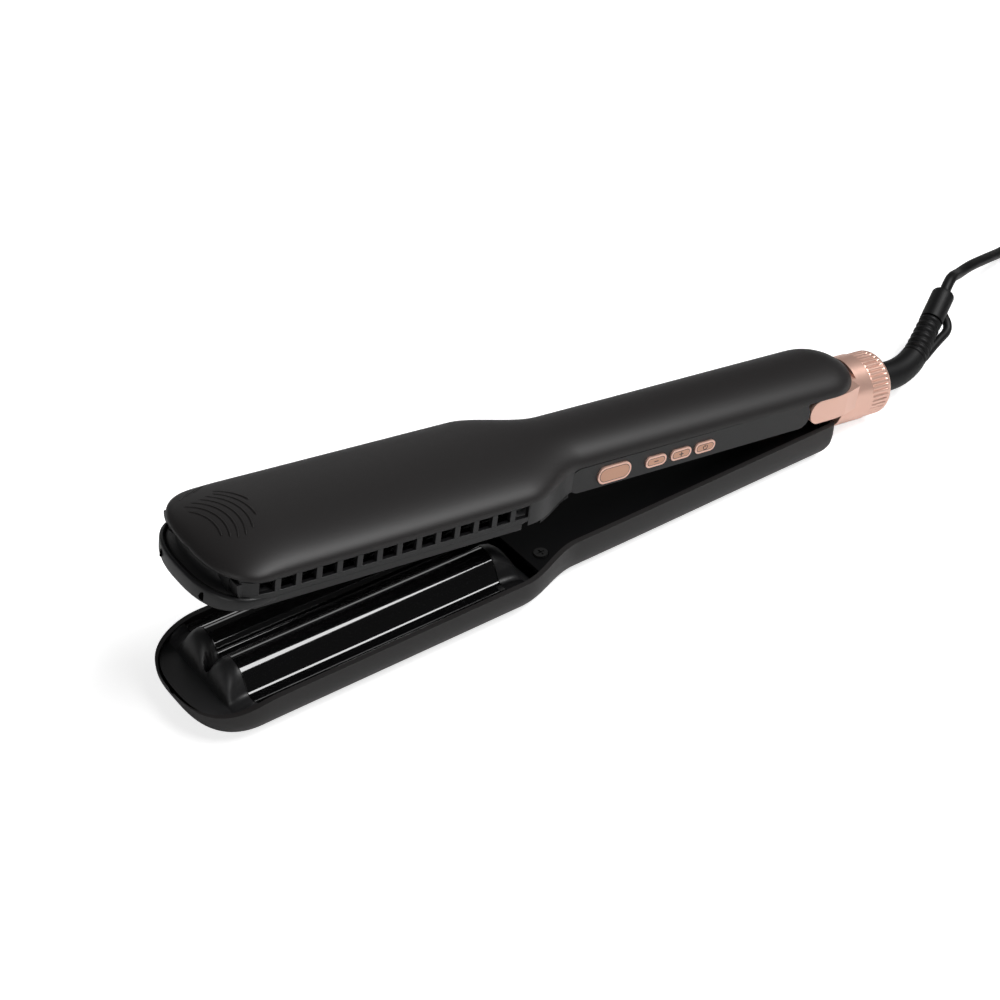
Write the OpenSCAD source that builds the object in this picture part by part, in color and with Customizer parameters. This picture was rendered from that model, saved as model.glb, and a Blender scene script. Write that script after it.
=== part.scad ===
// Hair waver: two hinged arms with interlocking wave plates, open by a spring.
// Millimetres. +X runs from the tip to the cord, the buttons are on the -Y side, +Z is up.
// The lower arm lies on z = 0. Stations along the arms are measured from the hinge axis,
// and heights on the upper arm are measured with the arms closed.

/* [Arms] */
// Tip of the lower arm to the hinge axis
lower_reach = 291; // [285:1:297]
// Width of the flange beside the barrels
flange_w = 4.4; // [4:0.1:5]
// Width of the lower arm at the handle
lower_grip_w = 36; // [34:0.5:38]
// Width of the upper shell at the handle
shell_grip_w = 33; // [32.8:0.2:35]
// Height of the lower arm's rim
rim_z = 16.5; // [16:0.1:17]
// Height of the upper shell's edge, closed
edge_z = 27.5; // [27.2:0.1:28]
// Rise of the upper shell's crown above its edge
crown_h = 8; // [7.5:0.1:9]
// Wall of the moulded shells
wall = 2.2; // [1.8:0.1:2.4]
// Angle between the arms at rest
open_angle = 8.2; // [6:0.1:9]

/* [Hinge and lock] */
// Height of the hinge axis
hinge_z = 18.6; // [18.2:0.1:19]
// Radius of the hinge pin
pin_r = 2; // [1.6:0.1:2.2]
// Running clearance of the hinge pin
pin_gap = 0.05; // [0.03:0.01:0.08]
// Outer radius of the hinge collar
collar_r = 13.2; // [13:0.1:13.6]
// Outer radius of the lock ring
ring_r = 12.8; // [12.4:0.1:13]
// Width of the lock ring
ring_w = 11.5; // [10:0.5:12]
// Grooves cut into the lock ring
ring_grooves = 40; // [30:1:44]
// Travel of the lock latch
latch_travel = 2; // [1.5:0.1:2.1]

/* [Wave plates] */
// Length of the plates
plate_len = 101; // [90:1:103]
// Thickness of the plates
plate_t = 1.6; // [1.2:0.1:1.8]
// Radius of a barrel's crest
barrel_r = 7.4; // [7:0.1:7.6]
// Distance of each lower barrel from the middle
barrel_y = 9; // [8.8:0.1:9.2]
// Height of the barrels' crests
crest_z = 23.2; // [23:0.1:23.6]
// Steepest slope of the wave
wave_slope = 65; // [60:1:66]
// Gap for hair between the plates
hair_gap = 1.2; // [1:0.1:1.4]

/* [Vents] */
// Openings along each side
vent_count = 14; // [10:1:14]
// Distance from one opening to the next
vent_pitch = 7.67; // [7.2:0.01:7.7]
// Width of the bar between two openings
vent_bar = 2.2; // [1.6:0.1:3]
// Height of the openings
vent_h = 4.6; // [4:0.1:5]

/* [Controls] */
// Heat button behind the control strip's front end
heat_at = 19.8; // [18:0.1:22]
// Length and height of the heat button
heat_size = [15, 7]; // [4:0.1:16]
// Small buttons behind the control strip's front end
small_at = [39, 50.8, 62.3]; // [38:0.1:64]
// Length and height of a small button
small_size = [9.6, 4.4]; // [3:0.1:10]
// Travel of the buttons
button_travel = 0.8; // [0.5:0.1:0.9]
// Gap around a button
button_gap = 0.25; // [0.2:0.05:0.4]

/* [Cord] */
// Diameter of the cord
cord_d = 4.6; // [4.2:0.1:5]
// Diameter of the strain relief where it leaves the ring
relief_d = 12; // [11:0.5:13]
// Ribs on the strain relief
relief_ribs = 7; // [5:1:8]
// Bend of the strain relief
relief_bend = 38; // [35:1:50]
// Roll of the strain relief's bend, up from level
relief_roll = 45; // [30:1:60]

/* [Hidden] */
eps = 0.01;
seat = 0.2;            // gap between two pieces that only rest together
ring_end = 25.4;       // rear of the lock ring's dome
hinge_x = 133;         // hinge axis in the model's frame
steps = 16;            // facets across a shell's section
shell_setback = 7;     // front edge of the upper shell behind the lower arm's tip
plate_setback = 19;    // front ends of the plates behind the lower arm's tip
plate_front = plate_setback - lower_reach;
plate_rear = plate_front + plate_len;
shell_reach = lower_reach - shell_setback;
neck_front = plate_rear + 5;   // where the arms start to narrow
neck_rear = plate_rear + 35;   // where the grip starts
tip_dip = 4;           // drop of the rim at the tip
lower_tail = -9;       // rear end of the lower shell
shell_tail = 4;        // rear end of the upper shell
axis_z = hinge_z - 1.2;   // axis of the lock ring, closed

shell_c = [0.19, 0.18, 0.18];
frame_c = [0.09, 0.09, 0.09];
gloss_c = [0.04, 0.04, 0.04];
rose_c = [0.88, 0.66, 0.58];
steel_c = [0.7, 0.7, 0.72];
white_c = [0.9, 0.9, 0.86];

// ---- places -------------------------------------------------------------
module at_lower() translate([hinge_x, 0, 0]) children();
module at_upper() translate([hinge_x, 0, hinge_z]) rotate([0, open_angle, 0])
  translate([0, 0, -hinge_z]) children();
module at_ring() at_upper() translate([0, 0, axis_z]) rotate([0, 90, 0]) children();
module across(x, z) translate([x, 0, z]) rotate([90, 0, 0]) children();
module both_sides() {
  children();
  mirror([0, 1, 0]) children();
}

// ---- wave profile -------------------------------------------------------
// Height of the lower plate's top face at y: crests at barrel_y, a valley in the middle,
// and a flange at flange_z that turns up along the plate's long edge.
flange_z = 14;
lip_z = 15.3;
fillet = 2.5;
crest_mid = crest_z - barrel_r;
arc_w = barrel_r * sin(wave_slope);
arc_end = crest_mid + barrel_r * cos(wave_slope);
valley_w = barrel_y - arc_w;
valley_r = valley_w / sin(wave_slope);
valley_z = arc_end - valley_r * (1 - cos(wave_slope));
fall = arc_end - flange_z - fillet * (1 - cos(wave_slope));
foot_y = barrel_y + arc_w + fall / tan(wave_slope) + fillet * sin(wave_slope);
plate_half = foot_y + flange_w;
side_gap = 1.3;         // between a plate's edge and the shell's wall
arm_w = 2 * (plate_half + wall + side_gap);   // width of both arms at the plates

// ---- outlines -----------------------------------------------------------
function ease(t) = t <= 0 ? 0 : t >= 1 ? 1 : t * t * (3 - 2 * t);
// Share of the full width left at distance d from a rounded end of the given depth
function end_round(d, depth, n) = d >= depth ? 1 : d <= 0 ? 0 : pow(1 - pow(1 - d / depth, n), 1 / n);
function arm_half(x, front, grip, tail_grip) =
  (front + (grip - front) * ease((x - neck_front) / (neck_rear - neck_front))
    + (tail_grip - grip) * ease((x - neck_rear) / (lower_tail - neck_rear))) / 2;
function lower_half(x) = arm_half(x, arm_w, lower_grip_w + 1, lower_grip_w - 1.5)
  * end_round(x + lower_reach, 24, 2.6) * end_round(lower_tail + 1 - x, 5, 2);
function shell_half(x) = arm_half(x, arm_w, shell_grip_w - 0.4, shell_grip_w + 0.6)
  * end_round(x + shell_reach, 16.5, 2.6) * end_round(shell_tail - x, 18, 2);
function lower_rim(x) = rim_z - tip_dip * ease((26 - lower_reach - x) / 26);
function outline(pts) = concat(pts, [for (i = [len(pts) - 1:-1:0]) [pts[i][0], -pts[i][1]]]);
// Stations bunched towards the rounded ends
function stations(a, b, bunch_a, bunch_b) = concat(
  [for (t = [0.1, 0.5, 1.2, 2.4, 4, 6.2, 9, 12.5, 17]) a + t * bunch_a / 17],
  [for (x = [a + bunch_a + 14:16:neck_front - 6]) x],
  [for (i = [0:6]) neck_front + 1 + i * (neck_rear - neck_front) / 6],
  [for (x = [neck_rear + 16:22:b - bunch_b - 10]) x],
  [for (t = [16, 11, 7, 4, 2, 0.8, 0.15]) b - t * bunch_b / 16]);

// ---- moulded shells -----------------------------------------------------
// A section runs from one edge over the crown to the other, as a superellipse.
function arc_point(t, a, h, n) = [
  -a * sign(cos(t)) * pow(abs(cos(t)), 2 / n),
  h * pow(abs(sin(t)), 2 / n)];
// The points next to the middle are brought level with it where flat is true.
function section(x, a, edge, h, n, flat = false) = let (level = pow(sin(90 - 180 / steps), 2 / n))
  [for (j = [0:steps]) let (p = arc_point(180 * j / steps, a, h, n), k = abs(p[1] / h))
    [x, p[0], edge + h * (flat ? min(1, k / level) : k)]];
function grid_faces(rows, cols, base, flip) = [for (i = [0:rows - 2], j = [0:cols - 2])
  let (a = base + i * cols + j, b = a + 1, c = a + cols + 1, d = a + cols)
  each flip ? [[a, b, c], [a, c, d]] : [[a, c, b], [a, d, c]]];
// Closed skin between an outer and an inner row of sections, open along the edge
module thin_shell(outer, inner, flip) {
  rows = len(outer);
  cols = steps + 1;
  n = rows * cols;
  last = (rows - 1) * cols;
  rim = [for (i = [0:rows - 2], side = [0, cols - 1])
    let (a = i * cols + side, b = a + cols, up = side == 0)
    each up != flip ? [[a, n + a, n + b], [a, n + b, b]] : [[a, n + b, n + a], [a, b, n + b]]];
  front = [for (j = [1:cols - 2]) [0, j, j + 1]];
  back = [for (j = [1:cols - 2]) [last, last + j + 1, last + j]];
  front_in = [for (j = [1:cols - 2]) [n, n + j + 1, n + j]];
  back_in = [for (j = [1:cols - 2]) [n + last, n + last + j, n + last + j + 1]];
  lips = [[0, cols - 1, n + cols - 1, n], [last + cols - 1, last, n + last, n + last + cols - 1]];
  ends = concat(front, back, front_in, back_in, lips);
  polyhedron(points = concat([for (s = outer) each s], [for (s = inner) each s]),
    faces = concat(grid_faces(rows, cols, 0, flip), grid_faces(rows, cols, n, !flip), rim,
      [for (f = ends) flip ? [for (k = [len(f) - 1:-1:0]) f[k]] : f]));
}
function shell_rise(x, top) = top * end_round(x + shell_reach, 26, 2) * end_round(shell_tail - x, 15, 2);
function lower_drop(x) = lower_rim(x) * end_round(x + lower_reach, 20, 2.2) * end_round(lower_tail + 1 - x, 7, 2);
function inward(x, a, b) = a + wall + (x - a) * (b - a - 2 * wall) / (b - a);
module upper_shell() color(shell_c) at_upper() {
  xs = stations(-shell_reach, shell_tail, 17, 18);
  thin_shell([for (x = xs) section(x, shell_half(x), edge_z, shell_rise(x, crown_h), 2.1)],
    [for (x = xs) section(inward(x, -shell_reach, shell_tail), max(0.2, shell_half(x) - wall), edge_z,
      max(0.15, shell_rise(x, crown_h) - wall * shell_rise(x, 1)), 2.1)], true);
}
module lower_shell() color(shell_c) at_lower() difference() {
  xs = stations(-lower_reach, lower_tail + 1, 24, 6);
  thin_shell([for (x = xs) section(x, lower_half(x), lower_rim(x), -lower_drop(x), 3.2, true)],
    [for (x = xs) let (k = lower_drop(x) / lower_rim(x))
      section(inward(x, -lower_reach, lower_tail + 1), max(0.2, lower_half(x) - wall), lower_rim(x),
        -max(0.15, lower_drop(x) - wall * k), 3.2, true)], false);
  // Way out for the hinge tongue
  translate([-15, -spigot_w / 2 - seat, wall + 3.4]) cube([20, spigot_w + 2 * seat, 30]);
}

// ---- wave plates --------------------------------------------------------
function wave(z0) = [
  for (i = [-4:4]) let (a = i * wave_slope / 4) [valley_r * sin(a), valley_z + valley_r * (1 - cos(a)) + z0],
  for (i = [-7:8]) let (a = i * wave_slope / 8) [barrel_y + barrel_r * sin(a), crest_mid + barrel_r * cos(a) + z0],
  for (i = [0:5]) let (a = wave_slope * (1 - i / 5))
    [foot_y - fillet * sin(a), flange_z + fillet * (1 - cos(a)) + z0],
  [plate_half - 2.2, flange_z + z0], [plate_half - 0.6, flange_z + 0.6 + z0], [plate_half, lip_z + z0]];
function half_wave(z0) = [for (p = wave(z0)) if (p[0] >= 0) p];
function full_wave(z0) = let (h = half_wave(z0))
  concat([for (i = [len(h) - 1:-1:1]) [-h[i][0], h[i][1]]], h);
// Sheet of the plate's thickness whose hair face is the wave at height z0, metal below or above
module wave_sheet(z0, down) {
  face = full_wave(z0);
  back = full_wave(z0 + (down ? -plate_t : plate_t));
  translate([plate_front, 0, 0]) rotate([90, 0, 90]) linear_extrude(plate_len)
    polygon(concat(face, [for (i = [len(back) - 1:-1:0]) back[i]]));
}
// End cap: the wave sinks along a quarter ellipse onto a flat base, between straight sides
cap_rows = 6;
module wave_cap(start, dir, cap_len, face, base, z0, reach) {
  prof = [for (p = full_wave(z0)) if (abs(p[0]) <= reach + eps) p];
  m = len(prof);
  top = [for (i = [0:cap_rows]) let (t = i / cap_rows * 0.985, k = sqrt(1 - t * t))
    [for (p = prof) [start + dir * cap_len * t, p[0], base + (p[1] - base) * k]]];
  low = [for (i = [cap_rows, 0]) [for (p = top[i]) [p[0], p[1], base]]];
  // The rows close on themselves: over the top, down the far end, under the base and up at the start
  rows = concat(top, low);
  n = len(rows);
  skin = [for (i = [0:n - 1], j = [0:m - 2])
    let (a = i * m + j, b = a + 1, d = (i + 1) % n * m + j, c = d + 1) each [[a, b, c], [a, c, d]]];
  side = [for (i = [0:n - 1]) i * m];
  far_side = [for (i = [n - 1:-1:0]) i * m + m - 1];
  keep = (dir > 0) == (face > 0);
  polyhedron(points = [for (r = rows) each r], faces = [for (f = concat(skin, [side, far_side]))
    keep ? f : [for (k = [len(f) - 1:-1:0]) f[k]]]);
}

// ---- lower arm ----------------------------------------------------------
deck_z = 10;          // top of the deck under the lower plate
deck_t = 1.6;
deck_gap = 3.9;       // deck's edge inside the lower outline
cover_z = 14.4;       // top of the handle's inner cover
cover_t = 1.6;
front_screw = plate_front - 3.4;
deck_front = -lower_reach + 5;
deck_rear = neck_front + 8;
cover_front = neck_front + 10;
cover_rear = -16;
neck_screw = [neck_front + 16.5, 13.5];
post_r = 3.2;
screw_r = 1.4;
head_r = 2.6;
heater_len = plate_len - 17;
heater_w = 7;
heater_t = 2.5;
heater_z = crest_z - plate_t - 1.1; // top of the lower heaters, under the crests
spigot_w = 13;        // hinge tongue across the arm

lower_plan_front = [for (i = [0:24]) let (x = deck_front + (deck_rear - deck_front) * pow(i / 24, 1.6))
  [x, -max(1, lower_half(x) - deck_gap - 4 * end_round(deck_front + 14 - x, 14, 1))]];
cover_plan = [for (i = [0:20]) let (x = cover_front + (cover_rear - cover_front) * pow(i / 20, 1.3))
  [x, -(lower_half(x) - wall - 0.7)]];
module post(x, y, low, high, r = post_r) translate([x, y, low]) cylinder(r = r, h = high - low, $fn = 32);
module screw(x, y, head_z, len, dir = 1) translate([x, y, head_z]) mirror([0, 0, dir < 0 ? 1 : 0]) difference() {
  union() {
    translate([0, 0, -1.4]) cylinder(r = head_r, h = 1.4, $fn = 32);
    translate([0, 0, -len]) cylinder(r = screw_r - 0.25, h = len - 1, $fn = 24);
  }
  for (a = [0, 90]) rotate([0, 0, a]) translate([-1.5, -0.3, -0.7]) cube([3, 0.6, 1]);
}

// Tube along points, with one radius a point
function unit(v) = v / norm(v);
function tangent(pts, i) = unit(pts[min(len(pts) - 1, i + 1)] - pts[max(0, i - 1)]);
function ring_points(c, t, up, r, sides) = let (u = unit(cross(up, t)), v = cross(t, u))
  [for (k = [0:sides - 1]) c + r * (u * cos(360 * k / sides) + v * sin(360 * k / sides))];
module tube(pts, radii, sides, up = [0, 0, 1], t0 = undef, t1 = undef) {
  n = len(pts);
  rings = [for (i = [0:n - 1]) ring_points(pts[i],
    i == 0 && t0 != undef ? t0 : i == n - 1 && t1 != undef ? t1 : tangent(pts, i), up, radii[i], sides)];
  polyhedron(points = [for (r = rings) each r], faces = concat(
    [for (i = [0:n - 2], k = [0:sides - 1]) let (a = i * sides + k, b = i * sides + (k + 1) % sides)
      each [[a, b + sides, b], [a, a + sides, b + sides]]],
    [[for (k = [0:sides - 1]) k], [for (k = [sides - 1:-1:0]) (n - 1) * sides + k]]));
}
// Solid through mirrored outlines of the same number of points, bottom first. Its ends are strips across.
module stack(rings) {
  m = len(rings[0]);
  n = len(rings);
  top = (n - 1) * m;
  polyhedron(points = [for (r = rings) each r], faces = concat(
    [for (i = [0:n - 2], k = [0:m - 1]) let (a = i * m + k, b = i * m + (k + 1) % m)
      each [[a, b + m, b], [a, a + m, b + m]]],
    [for (k = [0:m / 2 - 2]) let (a = k, b = k + 1, c = m - 2 - k, d = m - 1 - k)
      each [[a, b, c], [a, c, d], [top + a, top + c, top + b], [top + a, top + d, top + c]]]));
}

module lower_frame() color(frame_c) at_lower() difference() {
  union() {
    translate([0, 0, deck_z - deck_t]) linear_extrude(deck_t) polygon(outline(lower_plan_front));
    both_sides() translate([plate_front, foot_y + 0.6, deck_z - eps])
      cube([plate_len, 2, flange_z - plate_t - seat - deck_z + eps]);
    translate([plate_front, -0.8, deck_z - eps]) cube([plate_len, 1.6, valley_z - plate_t - seat - deck_z]);
    for (x = [plate_front + 10, plate_rear - 9], y = [-9, 9]) post(x, y, wall + 0.5, deck_z - deck_t + eps);
    post(front_screw, 0, wall + 1.8, deck_z - eps, 4);
    translate([deck_rear - 4, -4, wall + 0.4]) cube([-16 - deck_rear + 4, 8, 3]);
    translate([deck_rear - 4, -4, wall + 0.4]) cube([3, 8, deck_z - wall - 0.5]);
    both_sides() {
      post(neck_screw[0], neck_screw[1], wall + 3.8, cover_z - cover_t - seat);
      translate([neck_screw[0] - 1.5, 3, wall + 2]) cube([3, neck_screw[1] - 3, 3]);
    }
  }
  translate([front_screw, 0, 2]) cylinder(r = screw_r, h = 20, $fn = 32);
  translate([front_screw, 0, deck_z - 1.2]) cylinder(r = head_r + 0.4, h = 5, $fn = 32);
  both_sides() translate([neck_screw[0], neck_screw[1], 4]) cylinder(r = screw_r, h = 20, $fn = 32);
}
module lower_wave_plate() color(gloss_c) at_lower() wave_sheet(0, true);
module lower_front_caps() color(frame_c) at_lower() difference() {
  wave_cap(plate_front - seat, -1, 7.2, 1, deck_z + seat, 0, foot_y);
  translate([front_screw, 0, 5]) cylinder(r = head_r + 0.5, h = 20, $fn = 32);
}
module lower_rear_caps() color(frame_c) at_lower()
  wave_cap(plate_rear + seat, 1, 10, 1, deck_z + seat, 0, foot_y);
module lower_heaters() color(white_c) at_lower() both_sides()
  translate([(plate_front + plate_rear - heater_len) / 2, barrel_y - heater_w / 2, heater_z - heater_t])
    cube([heater_len, heater_w, heater_t]);
clip_len = heater_len - 24;
module lower_heater_clips() color(steel_c) at_lower() both_sides()
  translate([(plate_front + plate_rear - clip_len) / 2, barrel_y - 3, deck_z + seat]) difference() {
    h = heater_z - heater_t - deck_z - 2 * seat;
    cube([clip_len, 6, h]);
    translate([-1, 0.8, 0.8]) cube([clip_len + 2, 4.4, h - 1.6]);
  }
module lower_inner_cover() color(gloss_c) at_lower() translate([0, 0, cover_z - cover_t]) difference() {
  linear_extrude(cover_t) polygon(outline(cover_plan));
  both_sides() translate([neck_screw[0], neck_screw[1], -1]) cylinder(r = screw_r, h = 5, $fn = 32);
  both_sides() translate([neck_screw[0], neck_screw[1], cover_t - 1]) cylinder(r = head_r + 0.3, h = 5, $fn = 32);
}
module lower_screws() color(steel_c) at_lower() {
  screw(front_screw, 0, deck_z + 0.4, 6);
  both_sides() screw(neck_screw[0], neck_screw[1], cover_z + 0.5, 7);
}
tongue_r = 5.2;
module hinge_tongue() color(frame_c) at_lower() difference() {
  translate([0, spigot_w / 2, 0]) rotate([90, 0, 0]) linear_extrude(spigot_w) union() {
    translate([0, hinge_z]) circle(r = tongue_r, $fn = 64);
    polygon([[-21, wall + 3.6], [-11, wall + 3.6], [-2, hinge_z - tongue_r + 0.2], [4.2, hinge_z - 3],
      [-2, hinge_z + 4.8], [-9, hinge_z + 1], [-14.5, cover_z - cover_t - 0.4], [-21, cover_z - cover_t - 0.4]]);
  }
  across(0, hinge_z) cylinder(r = pin_r + pin_gap, h = spigot_w + 2, center = true, $fn = 64);
  // Notch that faces the latch with the arms closed
  translate([tongue_r - 1.2, -latch_w / 2 - seat, latch_z - seat]) cube([4, latch_w + 2 * seat, latch_h]);
}
pin_len = 21.4;
module hinge_pin() color(steel_c) at_upper() across(0, hinge_z) cylinder(r = pin_r, h = pin_len, center = true, $fn = 64);
spring_turns = 3;
spring_wire = 0.45;
spring_r = 3.4;
spring_y = spigot_w / 2 + 0.9;
module torsion_spring() color(steel_c) at_upper() {
  coil = [for (i = [0:spring_turns * 14]) let (a = 360 * i / 14 + 200)
    [spring_r * cos(a), spring_y + 2.6 * i / (spring_turns * 14), hinge_z + spring_r * sin(a)]];
  tube(coil, [for (c = coil) spring_wire], 6, [0, 1, 0]);
}

// ---- upper arm ----------------------------------------------------------
frame_gap = 0.5;       // frame's side inside the shell's edge
frame_t = 1.8;
deck_top = edge_z - seat;
seam_z = 20.2;         // bottom of the vent frame along the plates
belly_z = rim_z + 0.4; // underside of the upper arm, closed
frame_rear = -27;
strip_x = [neck_rear - 5.3, -26];   // ends of the control strip
strip_y = shell_grip_w / 2 - 0.1;
strip_t = 1.6;
strip_z = (belly_z + edge_z) / 2 + 0.1;
strip_h = edge_z - belly_z - 0.6;
lip_reach = shell_reach + 2.7;
wall_front = 9.7 - lip_reach;   // front of the vent frame inside the nose
lip_gap = 1.2;         // between the lip and the lower rim, closed
button_z = strip_z - 0.3;
heat_x = strip_x[0] + heat_at;
small_x = [for (d = small_at) strip_x[0] + d];
flange_t = 0.8;

wall_split = neck_front - 1;
roof_t = 1.2;
roof_low = deck_top - roof_t;
function walls(a, b, n) = [for (i = [0:n]) let (x = a + (b - a) * i / n) [x, -(shell_half(x) - frame_gap)]];
module side_walls(pts, low, high) both_sides() translate([0, 0, low]) linear_extrude(high - low)
  polygon(concat(pts, [for (i = [len(pts) - 1:-1:0]) [pts[i][0], pts[i][1] + frame_t]]));
// A round-ended slab standing in the XZ plane, its outer face at -y
module pill(x, y, z, size, t, corner) translate([x, y, z]) rotate([90, 0, 0]) linear_extrude(t)
  union() {
    for (sx = [-1, 1], sz = [-1, 1]) translate([sx * (size[0] / 2 - corner), sz * (size[1] / 2 - corner)])
      circle(r = corner, $fn = 48);
    square([size[0] - 2 * corner, size[1]], center = true);
    square([size[0], max(eps, size[1] - 2 * corner)], center = true);
  }
module strip_shape(grow, t, y) pill((strip_x[0] + strip_x[1]) / 2, y, strip_z,
  [strip_x[1] - strip_x[0] + 2 * grow, strip_h + 2 * grow], t, strip_h / 2 - 0.3 + grow);
module each_button() {
  translate([heat_x, 0, button_z]) children(0);
  for (x = small_x) translate([x, 0, button_z]) children(1);
}
function lip_half(x, less) = (arm_w / 2 - 0.6 - less) * end_round(x + lip_reach - less, 17, 2.5);
function nose_plan(less) = let (front = -lip_reach + less, back = plate_front + 6)
  outline([for (i = [0:14]) let (x = front + (back - front) * pow(i / 14, 1.8)) [x, -max(0.6, lip_half(x, less))]]);
function nose_ring(z, less) = [for (p = nose_plan(less)) [p[0], p[1], z]];
// The lip's lower edge follows the dip of the lower rim
function lip_ring(above_rim, less) = [for (p = nose_plan(less)) [p[0], p[1], lower_rim(p[0]) + above_rim]];
module upper_frame() color(frame_c) at_upper() {
  difference() {
    union() {
      side_walls(walls(plate_front + 1, wall_split, 14), seam_z, deck_top);
      side_walls(walls(wall_split - 1, frame_rear, 22), belly_z + belly_t + seat, deck_top);
      translate([0, 0, roof_low]) linear_extrude(roof_t) polygon(outline(walls(wall_front, frame_rear, 36)));
      difference() {
        nose();
        translate([bay_front, -bay_half, 0]) cube([40, 2 * bay_half, roof_low]);
      }
      for (p = belly_screws) post(p[0], p[1], belly_z + belly_t + seat, roof_low + eps);
    }
    // Vent openings along both sides
    for (i = [0:vent_count - 1]) let (x = vent_first + i * vent_pitch)
      translate([x, -arm_w, edge_z - 0.9 - vent_h]) cube([vent_pitch - vent_bar, 2 * arm_w, vent_h]);
    strip_shape(0.15, 20, -strip_y + 6);
    translate([plate_front + 10, -5.5, deck_top - 3]) cube([plate_len - 19, 11, 5]);
    for (p = belly_screws) translate([p[0], p[1], belly_z]) cylinder(r = screw_r, h = 8, $fn = 32);
  }
}
cap_base = roof_low - seat;
vent_first = plate_front - 0.55;
module plate_carrier() color(frame_c) at_upper() {
  ring = [for (i = [0:10]) let (x = plate_front + 1 + (plate_len - 2) * i / 10)
    [x, -(arm_w / 2 - 1.1)]];
  difference() {
    union() {
      both_sides() translate([plate_front - 2, plate_half + 0.25, belly_z])
        cube([plate_len + 4, arm_w / 2 - 1.1 - plate_half, seam_z - belly_z - 0.25]);
      // Lip below the nose
      difference() {
        stack([lip_ring(lip_gap, 1.4), lip_ring(lip_gap + 1.2, 0.3), nose_ring(seam_z - 0.8, 0), nose_ring(seam_z, 0.3)]);
        translate([bay_front + 0.4, -bay_half - 0.6, 0]) cube([30, 2 * bay_half + 1.2, 40]);
        both_sides() translate([4.3 - lip_reach, 13.5, 0]) cylinder(r = 1.5, h = 40, $fn = 32);
      }
    }
  }
}
module nose() stack([nose_ring(seam_z + seat, 2), nose_ring(seam_z + 1.5, 4), nose_ring(23.5, 5), nose_ring(deck_top, 3.5)]);
bay_front = 6.7 - lip_reach;   // front and half width of the bay that the upper plate sits in
bay_half = plate_half + 0.6;
module upper_wave_plate() color(gloss_c) at_upper() wave_sheet(hair_gap, false);
module upper_front_caps() color(frame_c) at_upper()
  wave_cap(plate_front - seat, -1, 7, -1, cap_base, hair_gap, plate_half);
module upper_rear_caps() color(frame_c) at_upper()
  wave_cap(plate_rear + seat, 1, 10, -1, cap_base, hair_gap, plate_half);
upper_heater_z = valley_z + hair_gap + plate_t + 0.9;
module upper_heater() color(white_c) at_upper()
  translate([(plate_front + plate_rear - heater_len) / 2, -1.9, upper_heater_z]) cube([heater_len, 3.8, 2]);
clip_top = 29.6;
module upper_heater_clip() color(steel_c) at_upper()
  translate([(plate_front + plate_rear - clip_len) / 2, -3, upper_heater_z + 2 + seat]) difference() {
    h = clip_top - upper_heater_z - 2 - seat;
    cube([clip_len, 6, h]);
    translate([-1, 0.8, 0.8]) cube([clip_len + 2, 4.4, h - 1.6]);
  }
module thermal_fuse() color(steel_c) at_upper() translate([plate_rear - 34, 0, clip_top + seat + 1.5]) rotate([0, 90, 0])
  cylinder(r = 1.5, h = 12, $fn = 32);
belly_ends = [neck_front + 5.6, -33];
belly_plan = [for (i = [0:24]) let (x = belly_ends[0] + (belly_ends[1] - belly_ends[0]) * i / 24) [x, -(shell_half(x) - frame_gap - 0.3)]];
belly_screws = [[neck_front + 11, 0], [-52, 6]];
belly_t = 1.4;
module upper_inner_cover() color(gloss_c) at_upper() difference() {
  translate([0, 0, belly_z]) linear_extrude(belly_t) polygon(outline(belly_plan));
  // Beside the control strip
  translate([strip_x[0] - seat, -30, 0]) cube([200, 30 - strip_y + strip_t + seat, 40]);
  for (p = belly_screws) translate([p[0], p[1], belly_z - 1]) {
    cylinder(r = screw_r, h = 6, $fn = 32);
    cylinder(r = head_r + 0.3, h = 1.9, $fn = 32);
  }
}
module upper_screws() color(steel_c) at_upper() for (p = belly_screws) screw(p[0], p[1], belly_z - 0.6, 6, -1);

module control_strip() color(frame_c) at_upper() difference() {
  strip_shape(0, strip_t, -strip_y + strip_t);
  each_button() {
    pill(0, 0, 0, [heat_size[0] + 2 * button_gap, heat_size[1] + 2 * button_gap], 40, heat_size[1] / 2 + button_gap - 0.1);
    pill(0, 0, 0, [small_size[0] + 2 * button_gap, small_size[1] + 2 * button_gap], 40, small_size[1] / 2 + button_gap - 0.1);
  }
}
switch_y = -strip_y + strip_t + 4.9;   // front of the switches' plungers
switch_t = 2.2;
board_y = switch_y + switch_t;
board_x = [heat_x - 10.5, small_x[2] + 9];   // ends of the circuit board
wire_x = [board_x[1] + 0.4, -24];            // ends of the wires
module key(size) {
  // Cap, flange behind the strip and stem
  pill(0, -strip_y + strip_t + 0.2, 0, size, strip_t + 0.8, size[1] / 2 - 0.15);
  pill(0, -strip_y + strip_t + 0.2 + flange_t, 0, [size[0] + 1.4, size[1]], flange_t, size[1] / 2 - 0.15);
  translate([-1.2, -strip_y + strip_t + 0.2 + flange_t - eps, -1.2])
    cube([2.4, switch_y - button_travel - 0.25 + strip_y - strip_t - 0.2 - flange_t, 2.4]);
}
module heat_button() color(rose_c) at_upper() translate([heat_x, 0, button_z]) key(heat_size);
module minus_button() color(rose_c) at_upper() translate([small_x[0], 0, button_z]) key(small_size);
module plus_button() color(rose_c) at_upper() translate([small_x[1], 0, button_z]) key(small_size);
module power_button() color(rose_c) at_upper() translate([small_x[2], 0, button_z]) key(small_size);
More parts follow.
